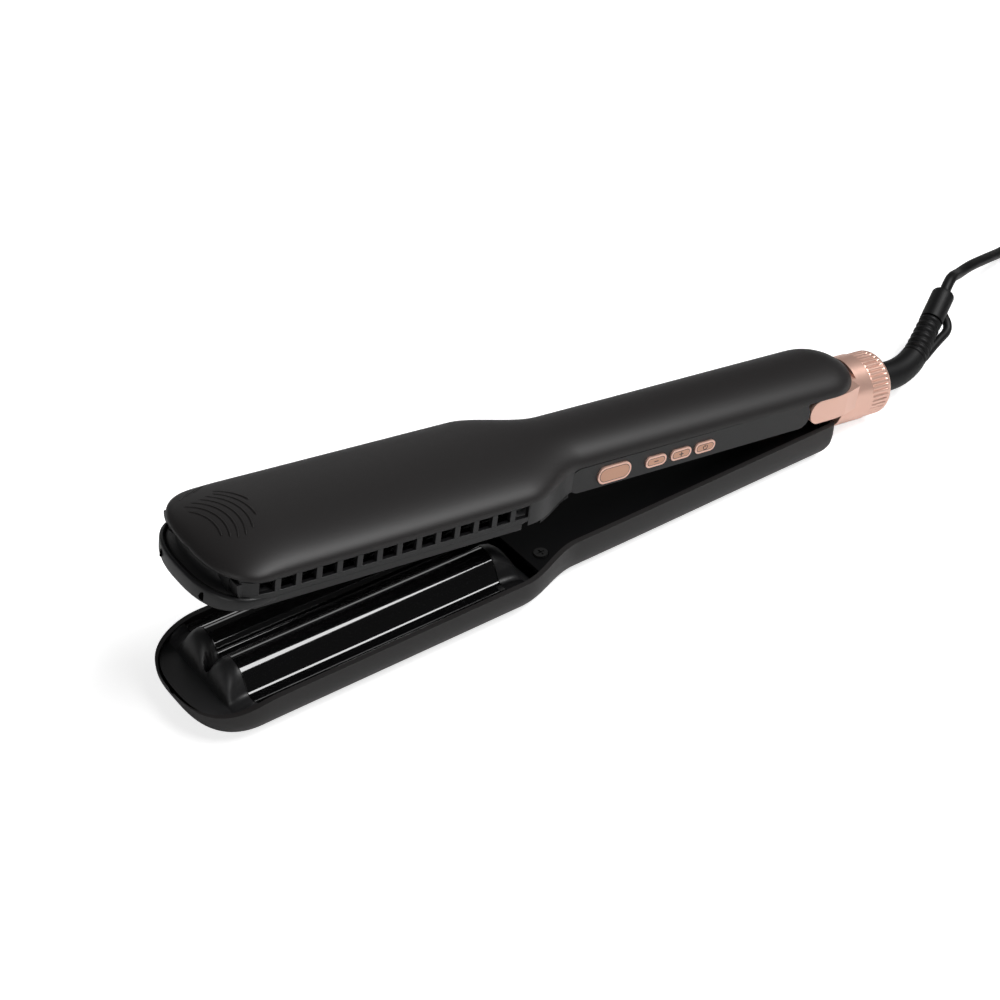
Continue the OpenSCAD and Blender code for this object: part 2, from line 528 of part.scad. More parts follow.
module circuit_board() color([0.1, 0.35, 0.2]) at_upper() {
  translate([board_x[0], board_y, belly_z + 2.2]) cube([board_x[1] - board_x[0], 1.4, deck_top - 1.4 - seat - belly_z - 2.2]);
  translate([heat_x + 9.5, board_y + 1.4, belly_z + 4]) cube([9, 1.2, 5]);
  translate([small_x[0] + 8.3, board_y + 1.4, belly_z + 3.6]) cube([6, 3, 5]);
  translate([small_x[1] + 6.5, board_y + 1.4 + 2.2, belly_z + 3.2]) cylinder(r = 2.5, h = 5.6, $fn = 32);
}
module tact_switches() color([0.25, 0.25, 0.26]) at_upper() {
  for (x = concat([heat_x], small_x)) {
    translate([x - 3, switch_y + 0.8, button_z - 3]) cube([6, switch_t - 0.8, 6]);
    translate([x, switch_y, button_z]) rotate([-90, 0, 0]) cylinder(r = 1.6, h = 1, $fn = 32);
  }
}
module wire_loom() color([0.55, 0.12, 0.12]) at_upper() for (z = [strip_z - 1.3, strip_z + 1.3])
  tube([for (p = [[0, board_y + 0.7, 0], [0.21, board_y + 0.7, 0], [0.54, -3, -0.6], [0.87, 0, 0], [1, 0, 0.4]])
    [wire_x[0] + p[0] * (wire_x[1] - wire_x[0]), p[1], z + p[2]]],
    [1, 1, 1, 1, 1], 8);

// ---- hinge, lock ring and swivel ----------------------------------------
cheek = 11;            // half length of the hinge pin's seat in the collar
slot_w = spigot_w + 1.2;
collar_front = -4;     // front of the collar's round body
collar_rear = 11.6;
ring_front = collar_rear + 0.2;
spigot_r = 9;
spigot_in = 7.6;
ring_bore = 5.7;       // way through the lock ring, hidden by the strain relief
stem_r = 3.5;          // stem that the strain relief is moulded on
ear_x = [-25.4, 2];
ear_z = [belly_z + 0.4, deck_top - 0.1];
module ring_disc(r, x0, x1, fn = 96) translate([0, 0, x0]) cylinder(r = r, h = x1 - x0, $fn = fn);
module hinge_collar() color(rose_c) difference() {
  union() {
    at_ring() ring_disc(collar_r, collar_front, collar_rear);
    at_ring() ring_disc(spigot_r, collar_rear - eps, collar_rear + 8.4);
    at_upper() intersection() {
      translate([ear_x[0], -17, ear_z[0]]) cube([ear_x[1] - ear_x[0], 34, ear_z[1] - ear_z[0]]);
      union() {
        pill(-8, 17, (ear_z[0] + ear_z[1]) / 2, [34.8, ear_z[1] - ear_z[0]], 34, (ear_z[1] - ear_z[0]) / 2 - 0.1);
      }
      linear_extrude(60) polygon(outline([[-40, -strip_y], [-12, -strip_y], [-6, -strip_y + 0.6], [0, -collar_r - 1], [3, -collar_r]]));
    }
  }
  // Room for the hinge tongue, open below and to the front
  at_upper() translate([-40, -slot_w / 2, -10]) cube([46, slot_w, 34]);
  // Hollow ear
  at_upper() translate([-40, -strip_y + 2.4, ear_z[0] + 1.8]) cube([28, 2 * strip_y - 4.8, ear_z[1] - ear_z[0] - 3.6]);
  at_upper() across(0, hinge_z) cylinder(r = pin_r, h = 2 * cheek, center = true, $fn = 64);
  // Pocket of the torsion spring
  at_upper() translate([0, slot_w / 2 - eps, hinge_z]) rotate([-90, 0, 0]) cylinder(r = spring_r + 0.9, h = 4, $fn = 48);
  // The shell covers the collar's top
  at_upper() translate([-40, -30, deck_top]) cube([40 + shell_tail + 0.3, 60, 30]);
  // Channel of the latch and way for the wires
  at_upper() translate([5, -latch_w / 2 - 0.2, latch_z - 0.2]) cube([collar_rear - 5 + 12, latch_w + 0.4, latch_h + 0.4]);
  at_ring() ring_disc(spigot_in, collar_rear - 0.6, collar_rear + 20);
  at_ring() ring_disc(3, 5, 20, 48);
}
latch_w = 5;
latch_h = 3;
latch_z = axis_z + 2.6;
latch_len = 3.4;
module lock_latch() color(steel_c) at_upper() translate([tongue_r + seat + latch_travel, -latch_w / 2, latch_z])
  cube([latch_len, latch_w, latch_h]);
module lock_ring() color(rose_c) at_ring() difference() {
  union() {
    translate([0, 0, ring_front]) linear_extrude(ring_w - 2.6) polygon([for (i = [0:ring_grooves * 4 - 1])
      let (a = 90 * i / ring_grooves, r = ring_r - (i % 4 == 0 ? 0.55 : 0)) [r * cos(a), r * sin(a)]]);
    rotate_extrude($fn = 96) polygon([[ring_bore, ring_front + ring_w - 2.7], [ring_r - 0.4, ring_front + ring_w - 2.7],
      [ring_r - 1, ring_front + ring_w - 1.4], [ring_r - 2.6, ring_front + ring_w - 0.4],
      [ring_r - 5, ring_end - 1.2], [ring_bore, ring_end - 1]]);
  }
  ring_disc(spigot_r + 0.06, ring_front - 1, collar_rear + 8.7);
  ring_disc(ring_bore, ring_front, ring_end + 5, 64);
}
module swivel_collar() color(frame_c) at_ring() difference() {
  ring_disc(spigot_in - 0.02, collar_rear + 2.5, collar_rear + 8.2);
  ring_disc(stem_r + 0.05, collar_rear, collar_rear + 10, 64);
}
// The stem turns in the swivel collar, and the washer on its end keeps it there
module swivel_stem() color(frame_c) at_ring() ring_disc(stem_r, stem_front, relief_start + relief_front, 64);
module stem_washer() color(steel_c) at_ring() difference() {
  ring_disc(spigot_in - 0.3, stem_front, stem_front + 1.9);
  ring_disc(stem_r, stem_front - 1, stem_front + 3, 64);
}

// ---- strain relief ------------------------------------------------------
// Centre line in the ring's frame: straight out, a bend, and straight again
relief_start = collar_rear + 9;
relief_lead = 12.5;
relief_r = 34;
relief_tail = 31;
relief_arc = relief_r * relief_bend * PI / 180;
relief_len = relief_lead + relief_arc + relief_tail;
function relief_at(s) = let (
    a = min(relief_bend, max(0, (s - relief_lead) / relief_r * 180 / PI)),
    extra = max(0, s - relief_lead - relief_arc),
    along = min(s, relief_lead) + relief_r * sin(a) + extra * cos(a),
    off = relief_r * (1 - cos(a)) + extra * sin(a))
  [relief_start + along, off * cos(relief_roll), off * sin(relief_roll)];
function relief_dir(s) = unit(relief_at(s + 0.2) - relief_at(s));
ring_lift = [0, 0, axis_z];
module at_relief() at_upper() translate(ring_lift) children();
rib_zone = [26, relief_len - 6];
rib_pitch = (rib_zone[1] - rib_zone[0]) / relief_ribs;
relief_front = 4.2;    // front face of the relief, behind the lock ring
stem_front = collar_rear + 0.4;
function relief_radius(s) = relief_d / 2 - (relief_d - cord_d - 4.4) / 2 * ease(s / relief_len);
// Along the ribs the radius steps out and in again
relief_stations = concat([relief_front, 8, 12, 15, 18, 21, 24],
  [for (i = [0:relief_ribs - 1], t = [0, 0.12, 0.5, 0.62]) rib_zone[0] + (i + t) * rib_pitch],
  [rib_zone[1], relief_len - 1, relief_len]);
function rib_step(s) = s < rib_zone[0] || s > rib_zone[1] ? 0
  : let (t = ((s - rib_zone[0]) / rib_pitch) % 1) t > 0.1 && t < 0.55 ? 0 : -1.1;
module strain_relief() color(frame_c) at_relief() tube([for (s = relief_stations) relief_at(s)],
  [for (s = relief_stations) relief_radius(s) + rib_step(s)], 14, [0, -sin(relief_roll), cos(relief_roll)]);

// ---- cord ---------------------------------------------------------------
cord_r = cord_d / 2;
floor_z = cord_r + 0.05;
function upper_world(p) = [hinge_x + p[0] * cos(open_angle) + (p[2] - hinge_z) * sin(open_angle), p[1],
  hinge_z - p[0] * sin(open_angle) + (p[2] - hinge_z) * cos(open_angle)];
relief_end = upper_world(relief_at(relief_len) + ring_lift);
relief_out = unit(relief_end - upper_world(relief_at(relief_len - 0.2) + ring_lift));
coil_centre = [345, 28];
coil_in = 21.8;        // inner turn
coil_pitch = 5.7;      // from one turn to the next
coil_rise = 5.5;       // from one layer to the next
coil_lap = 2;          // turns of each layer before it climbs
coil_turns = 9;
coil_floor = floor_z + 0.8;
coil_out = coil_in + coil_pitch * coil_lap;
tie_angle = 180;
// The visible stretch, chosen by hand, on to the coil's first turn
route = [[233, 29.5, 22.5], [246, 34.5, 19.5], [262, 40.5, 14.5], [280, 47.5, 8.5], [298, 54, 4.6], [314, 58.5, 3.15],
  [329, 61, coil_floor]];
function coil_at(u) = let (
    layer = floor(u / (coil_lap + 0.5)),
    v = u - layer * (coil_lap + 0.5),
    spiral = min(v, coil_lap) * coil_pitch,
    r = layer % 2 == 0 ? coil_out - spiral : coil_in + spiral,
    climb = ease((v - coil_lap) / 0.5),
    a = 90 - 360 * u)
  [coil_centre[0] + r * cos(a), coil_centre[1] + r * sin(a), coil_floor + coil_rise * (layer + climb)];
coil_top = coil_floor + 3 * coil_rise;
// The tail drops outside the coil to the plug: angle, radius, height from the top layer
tail_polar = [[75, 32.2, 0], [60, 34, 0], [45, 36.2, -0.2], [30, 38, -0.8], [15, 39.2, -2], [0, 39.6, -3.6],
  [-15, 39.6, -5.6], [-30, 39.6, -7.8], [-45, 39.6, -9.8], [-60, 39.4, -11.2], [-75, 39.1, -12]];
plug_z = 7;
plug_x = 338;
plug_y = coil_centre[1] - 39;
function smooth_point(p, i, t) = let (a = p[max(0, i - 1)], b = p[i], c = p[i + 1], d = p[min(len(p) - 1, i + 2)])
  0.5 * (2 * b + (c - a) * t + (2 * a - 5 * b + 4 * c - d) * t * t + (3 * b - a - 3 * c + d) * t * t * t);
function smooth_path(p, n) = concat([for (i = [0:len(p) - 2], k = [0:n - 1]) smooth_point(p, i, k / n)], [p[len(p) - 1]]);
function path_length(p) = len(p) < 2 ? 0 : [for (i = 0, s = 0; i < len(p); s = s + (i + 1 < len(p) ? norm(p[i + 1] - p[i]) : 0), i = i + 1) s][len(p) - 1];
run_points = smooth_path(concat([relief_end, relief_end + 2 * cord_d * relief_out], route, [coil_at(0)]), 2);
coil_points = [for (i = [0:coil_turns * 24]) coil_at(i / 24)];
tail_points = smooth_path(concat([coil_at(coil_turns)],
  [for (p = tail_polar) [coil_centre[0] + p[1] * cos(p[0]), coil_centre[1] + p[1] * sin(p[0]), coil_top + p[2]]],
  [[coil_centre[0], plug_y, plug_z], [plug_x, plug_y, plug_z]]), 2);
function same(r, pts) = [for (p = pts) r];
module cord_run() color(frame_c) tube(run_points, same(cord_r, run_points), 8, [0, 0, 1], relief_out, [1, 0, 0]);
module cord_coil() color(frame_c) tube(coil_points, same(cord_r, coil_points), 6, [0, 0, 1], [1, 0, 0], [1, 0, 0]);
module cord_tail() color(frame_c) tube(tail_points, same(cord_r, tail_points), 8, [0, 0, 1], [1, 0, 0], [-1, 0, 0]);
module cord_tie() color(frame_c) translate([coil_centre[0], coil_centre[1], 0]) rotate([0, 0, tie_angle]) difference() {
  high = coil_top + cord_r + 1.3;
  translate([coil_in - cord_r - 1.6, -4, 0]) cube([coil_out - coil_in + cord_d + 3.2, 8, high]);
  translate([coil_in - cord_r - 0.8, -5, 0.7]) cube([coil_out - coil_in + cord_d + 1.6, 10, high - 1.4]);
}
plug_half = [[0, 3.4, 3.4], [9, 4.2, 4.2], [13, 6.5, 5.6], [19, 14.5, 6.9], [24, 17.4, 6.95], [36, 17.65, 6.95], [37, 17, 6.3]];
pin_pitch = 18.2;
function plug_ring(x, w, h) = [for (k = [0:23]) let (a = -15 * k, e = w > 8 ? 3.4 : 2)
  [-x, w * sign(cos(a)) * pow(abs(cos(a)), 2 / e), h * sign(sin(a)) * pow(abs(sin(a)), 2 / e)]];
module plug_body() color(frame_c) translate([plug_x, plug_y, plug_z])
  stack([for (p = plug_half) [for (q = plug_ring(p[0], p[1], p[2])) [q[0], q[1], q[2]]]]);
module plug_pins() color(steel_c) translate([plug_x - 37, plug_y, plug_z]) for (y = [-1, 1])
  translate([0, y * pin_pitch / 2, 0]) rotate([0, -90, 0]) {
    cylinder(r = 1.9, h = 10.2, $fn = 24);
    translate([0, 0, 10.2]) cylinder(r = 2, h = 8, $fn = 24);
    translate([0, 0, 18.2]) cylinder(r1 = 2, r2 = 1.4, h = 0.8, $fn = 24);
  }
cord_total = path_length(run_points) + path_length(coil_points) + path_length(tail_points);
least_turn_gap = min([for (i = [0:6:len(coil_points) - 1], j = [i + 12:len(coil_points) - 1])
  norm(coil_points[i] - coil_points[j])]) - cord_d;
echo(cord_total = cord_total, least_turn_gap = least_turn_gap, relief_end = relief_end, relief_len = relief_len);

lower_shell();
lower_frame();
lower_wave_plate();
lower_front_caps();
lower_rear_caps();
lower_heaters();
lower_heater_clips();
lower_inner_cover();
lower_screws();
hinge_tongue();
hinge_pin();
torsion_spring();
upper_shell();
upper_frame();
plate_carrier();
upper_wave_plate();
upper_front_caps();
upper_rear_caps();
upper_heater();
upper_heater_clip();
thermal_fuse();
upper_inner_cover();
upper_screws();
control_strip();
circuit_board();
tact_switches();
wire_loom();
hinge_collar();
lock_ring();
lock_latch();
heat_button();
minus_button();
plus_button();
power_button();
strain_relief();
swivel_stem();
stem_washer();
swivel_collar();
cord_run();
cord_coil();
cord_tail();
cord_tie();
plug_body();
plug_pins();
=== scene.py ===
"""A hair waver lying on its lower arm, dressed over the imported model."""
import math

import bmesh
import bpy
from mathutils import Matrix, Vector


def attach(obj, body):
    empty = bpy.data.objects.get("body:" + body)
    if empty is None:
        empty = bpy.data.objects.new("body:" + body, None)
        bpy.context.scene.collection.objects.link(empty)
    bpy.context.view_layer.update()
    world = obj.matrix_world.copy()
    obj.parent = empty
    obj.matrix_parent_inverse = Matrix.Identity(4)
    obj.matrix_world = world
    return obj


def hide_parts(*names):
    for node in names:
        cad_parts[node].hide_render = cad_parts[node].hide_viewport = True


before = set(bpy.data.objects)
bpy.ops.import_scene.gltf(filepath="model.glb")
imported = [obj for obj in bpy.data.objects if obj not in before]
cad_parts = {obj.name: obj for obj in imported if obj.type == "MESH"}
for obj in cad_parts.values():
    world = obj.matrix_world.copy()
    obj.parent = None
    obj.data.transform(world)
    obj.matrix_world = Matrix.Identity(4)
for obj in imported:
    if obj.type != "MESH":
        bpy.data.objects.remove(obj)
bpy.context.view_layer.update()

MM = 0.001
HINGE_X, HINGE_Z = 133.0, 18.6      # hinge axis
OPEN = math.radians(8.2)            # angle between the arms at rest
AXIS_Z = HINGE_Z - 1.2              # axis of the lock ring, arms closed

# ---- sizes of the moulded parts, in millimetres from the hinge axis ----------
LOWER_REACH, SHELL_REACH = 291.0, 284.0
LOWER_W, SHELL_W = 55.0, 55.0
LOWER_GRIP_W, SHELL_GRIP_W = 36.0, 33.0
RIM_Z, EDGE_Z, CROWN_H, WALL = 16.5, 27.5, 8.0, 2.2
NECK_FRONT, NECK_REAR = -166.0, -136.0
LOWER_TAIL, SHELL_TAIL = -9.0, 4.0
LOWER_REAR = LOWER_TAIL + 1         # rear end of the lower shell
TIP_DIP, DIP_LEN = 4.0, 26          # how far the lower rim sinks at the tip, and over what length
# Rounded ends: length of the rounding and squareness of its curve
LOWER_TIP, LOWER_END = (24, 2.6), (5, 2)            # seen from above
SHELL_TIP, SHELL_END = (16.5, 2.6), (18, 2)
LOWER_TIP_SIDE, LOWER_END_SIDE = (20, 2.2), (7, 2)  # seen from the side
SHELL_TIP_SIDE, SHELL_END_SIDE = (26, 2), (15, 2)
LOWER_SQUARE, SHELL_SQUARE = 3.2, 2.1               # squareness of the cross-sections
PLATE_FRONT, PLATE_LEN, PLATE_T = -272.0, 101.0, 1.6
PLATE_REAR = PLATE_FRONT + PLATE_LEN
BARREL_R, BARREL_Y, CREST_Z, SLOPE = 7.4, 9.0, 23.2, math.radians(65)
HAIR_GAP, SEAT = 1.2, 0.2
FLANGE_Z, LIP_Z, FILLET = 14.0, 15.3, 2.5
PLATE_HALF = 23.997
SEAM_Z, BELLY_Z, DECK_LOW, DECK_TOP = 20.2, 16.9, 26.1, 27.3
VENT_COUNT, VENT_PITCH, VENT_BAR, VENT_H = 14, 7.67, 2.2, 4.6
LIP_REACH = SHELL_REACH + 2.7
RING_FRONT, RING_R, RING_W, RING_END = 11.8, 12.8, 11.5, 25.4
CORD_D = 4.6


# ---- places ---------------------------------------------------------------------
def at_lower(p):
    """A point of the lower arm, in metres in the row frame."""
    return Vector((p[0] + HINGE_X, p[1], p[2])) * MM


def at_upper(p):
    """A point of the upper arm, given with the arms closed, at its place at rest."""
    c, s = math.cos(OPEN), math.sin(OPEN)
    z = p[2] - HINGE_Z
    return Vector((HINGE_X + p[0] * c + z * s, p[1], HINGE_Z - p[0] * s + z * c)) * MM


def ring_point(along, radius, angle):
    """A point round the lock ring's axis, in the closed upper arm's millimetres."""
    return (along, radius * math.cos(angle), AXIS_Z + radius * math.sin(angle))


# ---- outlines, the same formulas as the solids -----------------------------------
def ease(t):
    """0 to 1 with a soft start and end."""
    t = min(1.0, max(0.0, t))
    return t * t * (3 - 2 * t)


def end_round(d, depth, n):
    """Share of the full size at distance d from a rounded end."""
    if d >= depth:
        return 1.0
    if d <= 0:
        return 0.0
    return (1 - (1 - d / depth) ** n) ** (1 / n)


def arm_half(x, front, grip, tail_grip):
    """Half the width of an arm: wide in front, the neck, then the handle."""
    neck = ease((x - NECK_FRONT) / (NECK_REAR - NECK_FRONT))
    tail = ease((x - NECK_REAR) / (LOWER_TAIL - NECK_REAR))
    return (front + (grip - front) * neck + (tail_grip - grip) * tail) / 2


def lower_half(x):
    ends = end_round(x + LOWER_REACH, *LOWER_TIP) * end_round(LOWER_REAR - x, *LOWER_END)
    return arm_half(x, LOWER_W, LOWER_GRIP_W + 1, LOWER_GRIP_W - 1.5) * ends


def shell_half(x):
    ends = end_round(x + SHELL_REACH, *SHELL_TIP) * end_round(SHELL_TAIL - x, *SHELL_END)
    return arm_half(x, SHELL_W, SHELL_GRIP_W - 0.4, SHELL_GRIP_W + 0.6) * ends


def lower_rim(x):
    return RIM_Z - TIP_DIP * ease((DIP_LEN - LOWER_REACH - x) / DIP_LEN)


def shell_rise(x, top):
    ends = end_round(x + SHELL_REACH, *SHELL_TIP_SIDE) * end_round(SHELL_TAIL - x, *SHELL_END_SIDE)
    return top * ends


def lower_drop(x):
    ends = end_round(x + LOWER_REACH, *LOWER_TIP_SIDE) * end_round(LOWER_REAR - x, *LOWER_END_SIDE)
    return lower_rim(x) * ends


def arc_point(t, a, h, n):
    """A point of half a superellipse, as (y, height)."""
    c, s = math.cos(t), math.sin(t)
    return (-a * math.copysign(abs(c) ** (2 / n), c), h * abs(s) ** (2 / n))


def spread(a, b, count, power=1.0):
    """Values from a to b, closer together near a where the power is over 1."""
    return [a + (b - a) * (i / count) ** power for i in range(count + 1)]


def stations(front, rear):
    """Stations along an arm, close together at both rounded ends."""
    near = [front + 0.05 + 26 * (i / 26) ** 2 for i in range(27)]
    far = [rear - 0.05 - 18 * (i / 18) ** 2 for i in range(18, -1, -1)]
    neck = spread(NECK_FRONT - 6, NECK_REAR + 8, 30)
    front_part = spread(near[-1], neck[0], 22)[1:-1]
    grip_part = spread(neck[-1], far[0], 26)[1:-1]
    return near + front_part + neck + grip_part + far


# ---- meshes ---------------------------------------------------------------------
def new_object(name, verts, faces):
    mesh = bpy.data.meshes.new(name)
    mesh.from_pydata([tuple(v) for v in verts], [], faces)
    work = bmesh.new()
    work.from_mesh(mesh)
    bmesh.ops.remove_doubles(work, verts=work.verts, dist=1e-6)
    bmesh.ops.recalc_face_normals(work, faces=work.faces)
    work.to_mesh(mesh)
    work.free()
    mesh.shade_smooth()
    obj = bpy.data.objects.new(name, mesh)
    bpy.context.scene.collection.objects.link(obj)
    return obj


def loft(name, rings, place, caps=True, sharp=40):
    """A skin through closed rings of the same number of points, with flat ends."""
    count = len(rings[0])
    verts = [place(p) for ring in rings for p in ring]
    faces = []
    for i in range(len(rings) - 1):
        for k in range(count):
            a, b = i * count + k, i * count + (k + 1) % count
            faces.append((a, b, b + count, a + count))
    if caps:
        last = (len(rings) - 1) * count
        faces.append(tuple(range(count)))
        faces.append(tuple(last + k for k in reversed(range(count))))
    obj = new_object(name, verts, faces)
    obj.data.set_sharp_from_angle(angle=math.radians(sharp))
    return obj


def bevel(obj, width, angle=40):
    mod = obj.modifiers.new("edges", "BEVEL")
    mod.width = width * MM
    mod.segments = 2
    mod.limit_method = "ANGLE"
    mod.angle_limit = math.radians(angle)
    mod.harden_normals = False
    return obj


def dress(obj, body, slot, material, *nodes):
    """The piece gets its material, rides on its body and stands for those nodes."""
    obj.data.materials.clear()
    obj.data.materials.append(material)
    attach(obj, body)
    if nodes:
        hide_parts(*nodes)
    return obj


def tube_rings(path, radii, sides=24, up=(0, 0, 1)):
    """Circles across a path, with a radius for each point."""
    rings = []
    for i, p in enumerate(path):
        here = Vector(p)
        ahead = Vector(path[min(i + 1, len(path) - 1)]) - Vector(path[max(i - 1, 0)])
        t = ahead.normalized()
        u = Vector(up).cross(t).normalized()
        v = t.cross(u)
        rings.append([here + radii[i] * (u * math.cos(a) + v * math.sin(a))
                      for a in (2 * math.pi * k / sides for k in range(sides))])
    return rings


def joined(name, parts, place, width):
    """One object from several rows of rings, with its edges bevelled where a width is given."""
    objs = [loft(name + str(i), rings, place) for i, rings in enumerate(parts)]
    work = bmesh.new()
    for o in objs:
        work.from_mesh(o.data)
    mesh = objs[0].data
    work.to_mesh(mesh)
    work.free()
    for o in objs[1:]:
        bpy.data.objects.remove(o)
    objs[0].name = name
    mesh.shade_smooth()
    mesh.set_sharp_from_angle(angle=math.radians(40))
    return bevel(objs[0], width) if width else objs[0]


# ---- materials ------------------------------------------------------------------
GRAIN_DEPTH = 0.0002     # metres, at a grain of 1
TINT_SCALE = 25          # scale of the slow changes of colour


def material(name, colour, roughness, metallic=0.0, grain=0.0, scale=900.0, rough_var=0.0, coat=0.0,
             tint=0.0, specular=0.5):
    """A moulded or plated surface: fine grain as bump, slight changes of colour and roughness."""
    mat = bpy.data.materials.new(name)
    mat.use_nodes = True
    nodes, links = mat.node_tree.nodes, mat.node_tree.links
    shader = nodes["Principled BSDF"]
    shader.inputs["Base Color"].default_value = (*colour, 1)
    shader.inputs["Roughness"].default_value = roughness
    shader.inputs["Metallic"].default_value = metallic
    shader.inputs["Coat Weight"].default_value = coat
    shader.inputs["Coat Roughness"].default_value = 0.05
    shader.inputs["Specular IOR Level"].default_value = specular
    place = nodes.new("ShaderNodeTexCoord")
    noise = nodes.new("ShaderNodeTexNoise")
    noise.inputs["Scale"].default_value = scale
    noise.inputs["Detail"].default_value = 3
    links.new(place.outputs["Object"], noise.inputs["Vector"])
    if grain:
        bump = nodes.new("ShaderNodeBump")
        bump.inputs["Strength"].default_value = grain
        bump.inputs["Distance"].default_value = GRAIN_DEPTH
        links.new(noise.outputs["Fac"], bump.inputs["Height"])
        links.new(bump.outputs["Normal"], shader.inputs["Normal"])
    if rough_var:
        span = nodes.new("ShaderNodeMapRange")
        span.inputs["To Min"].default_value = max(0.02, roughness - rough_var)
        span.inputs["To Max"].default_value = roughness + rough_var
        links.new(noise.outputs["Fac"], span.inputs["Value"])
        links.new(span.outputs["Result"], shader.inputs["Roughness"])
    if tint:
        wide = nodes.new("ShaderNodeTexNoise")
        wide.inputs["Scale"].default_value = TINT_SCALE
        links.new(place.outputs["Object"], wide.inputs["Vector"])
        ramp = nodes.new("ShaderNodeMix")
        ramp.data_type = "RGBA"
        ramp.inputs["A"].default_value = (*[c * (1 - tint) for c in colour], 1)
        ramp.inputs["B"].default_value = (*[min(1, c * (1 + tint)) for c in colour], 1)
        links.new(wide.outputs["Fac"], ramp.inputs["Factor"])
        links.new(ramp.outputs["Result"], shader.inputs["Base Color"])
    return mat


def srgb(*colour):
    """The linear colour of a screen colour from 0 to 255."""
    return tuple(c / 255 / 12.92 if c <= 10 else ((c / 255 + 0.055) / 1.055) ** 2.4 for c in colour)


SHELL = material("soft_touch_charcoal", srgb(33, 31, 31), 0.47, grain=0.12, scale=2600, rough_var=0.05,
                 tint=0.05, specular=0.42)
SATIN = material("satin_black", srgb(20, 20, 21), 0.42, grain=0.1, scale=1800, rough_var=0.05, tint=0.05)
PANEL = material("inner_black", srgb(7, 7, 8), 0.4, grain=0.05, scale=900, tint=0.05, specular=0.12)
PLATE = material("coated_plate", srgb(10, 10, 11), 0.09, grain=0.03, scale=1500, coat=1.0, rough_var=0.02)
TIP = material("satin_grey", srgb(34, 34, 35), 0.42, grain=0.1, scale=1500, rough_var=0.05, tint=0.04)
ROSE = material("rose_gold", srgb(252, 206, 188), 0.33, metallic=0.65, grain=0.06, scale=2400,
                rough_var=0.06, tint=0.03)
INSET = material("rose_inset", srgb(214, 165, 140), 0.4, metallic=0.4, grain=0.08, scale=2400,
                 rough_var=0.04, tint=0.03)
STEEL = material("plain_steel", (0.5, 0.5, 0.52), 0.3, metallic=1.0, grain=0.1, scale=1200, rough_var=0.08)
CERAMIC = material("heater_ceramic", (0.8, 0.77, 0.7), 0.6, grain=0.1, scale=700, tint=0.05)
BOARD = material("circuit_green", (0.03, 0.14, 0.06), 0.4, grain=0.05, scale=600, tint=0.15)
SWITCH = material("switch_grey", (0.03, 0.03, 0.035), 0.45, grain=0.05, scale=900, tint=0.05)
WIRE = material("wire_red", (0.3, 0.03, 0.03), 0.45, grain=0.05, scale=900, tint=0.05)
SCREW = material("dark_screw", (0.03, 0.03, 0.03), 0.35, metallic=0.6, grain=0.05, scale=1200,
                 rough_var=0.05)
# Painted shade: flat black without shine, in place of the dark inside of the lip's two holes
PAINTED_HOLE_SHADE = material("painted_hole_shade", (0.002, 0.002, 0.002), 0.9, tint=0.05, specular=0.0)
RUBBER = material("cord_black", srgb(11, 11, 12), 0.5, grain=0.1, scale=1600, rough_var=0.05, tint=0.05,
                  specular=0.3)


def repaint(mat, *names):
    """A CAD node that stays gets its finished material."""
    for name in names:
        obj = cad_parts[name]
        for item in obj.material_slots:
            item.material = mat


repaint(SATIN, "lower_frame", "upper_frame", "plate_carrier", "hinge_tongue", "control_strip",
        "swivel_collar", "swivel_stem")
repaint(PANEL, "lower_inner_cover", "upper_inner_cover")
repaint(ROSE, "hinge_collar", "heat_button", "minus_button", "plus_button", "power_button")
repaint(STEEL, "lower_heater_clips", "upper_heater_clip", "hinge_pin", "torsion_spring", "lock_latch",
        "thermal_fuse", "plug_pins", "stem_washer")
repaint(SCREW, "lower_screws", "upper_screws")
repaint(CERAMIC, "lower_heaters", "upper_heater")
repaint(BOARD, "circuit_board")
repaint(SWITCH, "tact_switches")
repaint(WIRE, "wire_loom")
repaint(RUBBER, "cord_tie", "plug_body")

# ---- camera ---------------------------------------------------------------------
AZIMUTH, ELEVATION = math.radians(-35.39), math.radians(36.93)
CAMERA_AT = Vector((-0.3752, -0.4934, 0.4883))
FOCAL_PX, PICTURE_PX, SENSOR = 2141.63, 1000, 36
camera = bpy.data.cameras.new("camera")
camera.sensor_width = SENSOR
camera.lens = FOCAL_PX / PICTURE_PX * SENSOR
camera.clip_end = 20
eye = bpy.data.objects.new("camera", camera)
eye.matrix_world = Matrix.Translation(CAMERA_AT) @ (
    Matrix.Rotation(AZIMUTH, 4, "Z") @ Matrix.Rotation(math.pi / 2 - ELEVATION, 4, "X"))
bpy.context.scene.collection.objects.link(eye)
bpy.context.scene.camera = eye
bpy.context.scene.view_settings.view_transform = "Standard"

# ---- cord, the same route as the solids --------------------------------------------
RELIEF_START, RELIEF_LEAD, RELIEF_R, RELIEF_TAIL = 20.6, 12.5, 34.0, 31.0
RELIEF_BEND, RELIEF_ROLL = math.radians(38), math.radians(45)
RELIEF_ARC = RELIEF_R * RELIEF_BEND
RELIEF_LEN = RELIEF_LEAD + RELIEF_ARC + RELIEF_TAIL
COIL_CENTRE, COIL_IN, COIL_PITCH, COIL_RISE = (345, 28), 21.8, 5.7, 5.5
COIL_LAP, COIL_TURNS = 2, 9         # turns of a layer, and in all
STEP_UP = 0.5                       # turn on which the cord climbs to the next layer
COIL_FLOOR = CORD_D / 2 + 0.85
COIL_OUT = COIL_IN + COIL_PITCH * COIL_LAP
ROUTE = [(233, 29.5, 22.5), (246, 34.5, 19.5), (262, 40.5, 14.5), (280, 47.5, 8.5), (298, 54, 4.6),
         (314, 58.5, 3.15), (329, 61, COIL_FLOOR)]
COIL_TOP = COIL_FLOOR + 3 * COIL_RISE
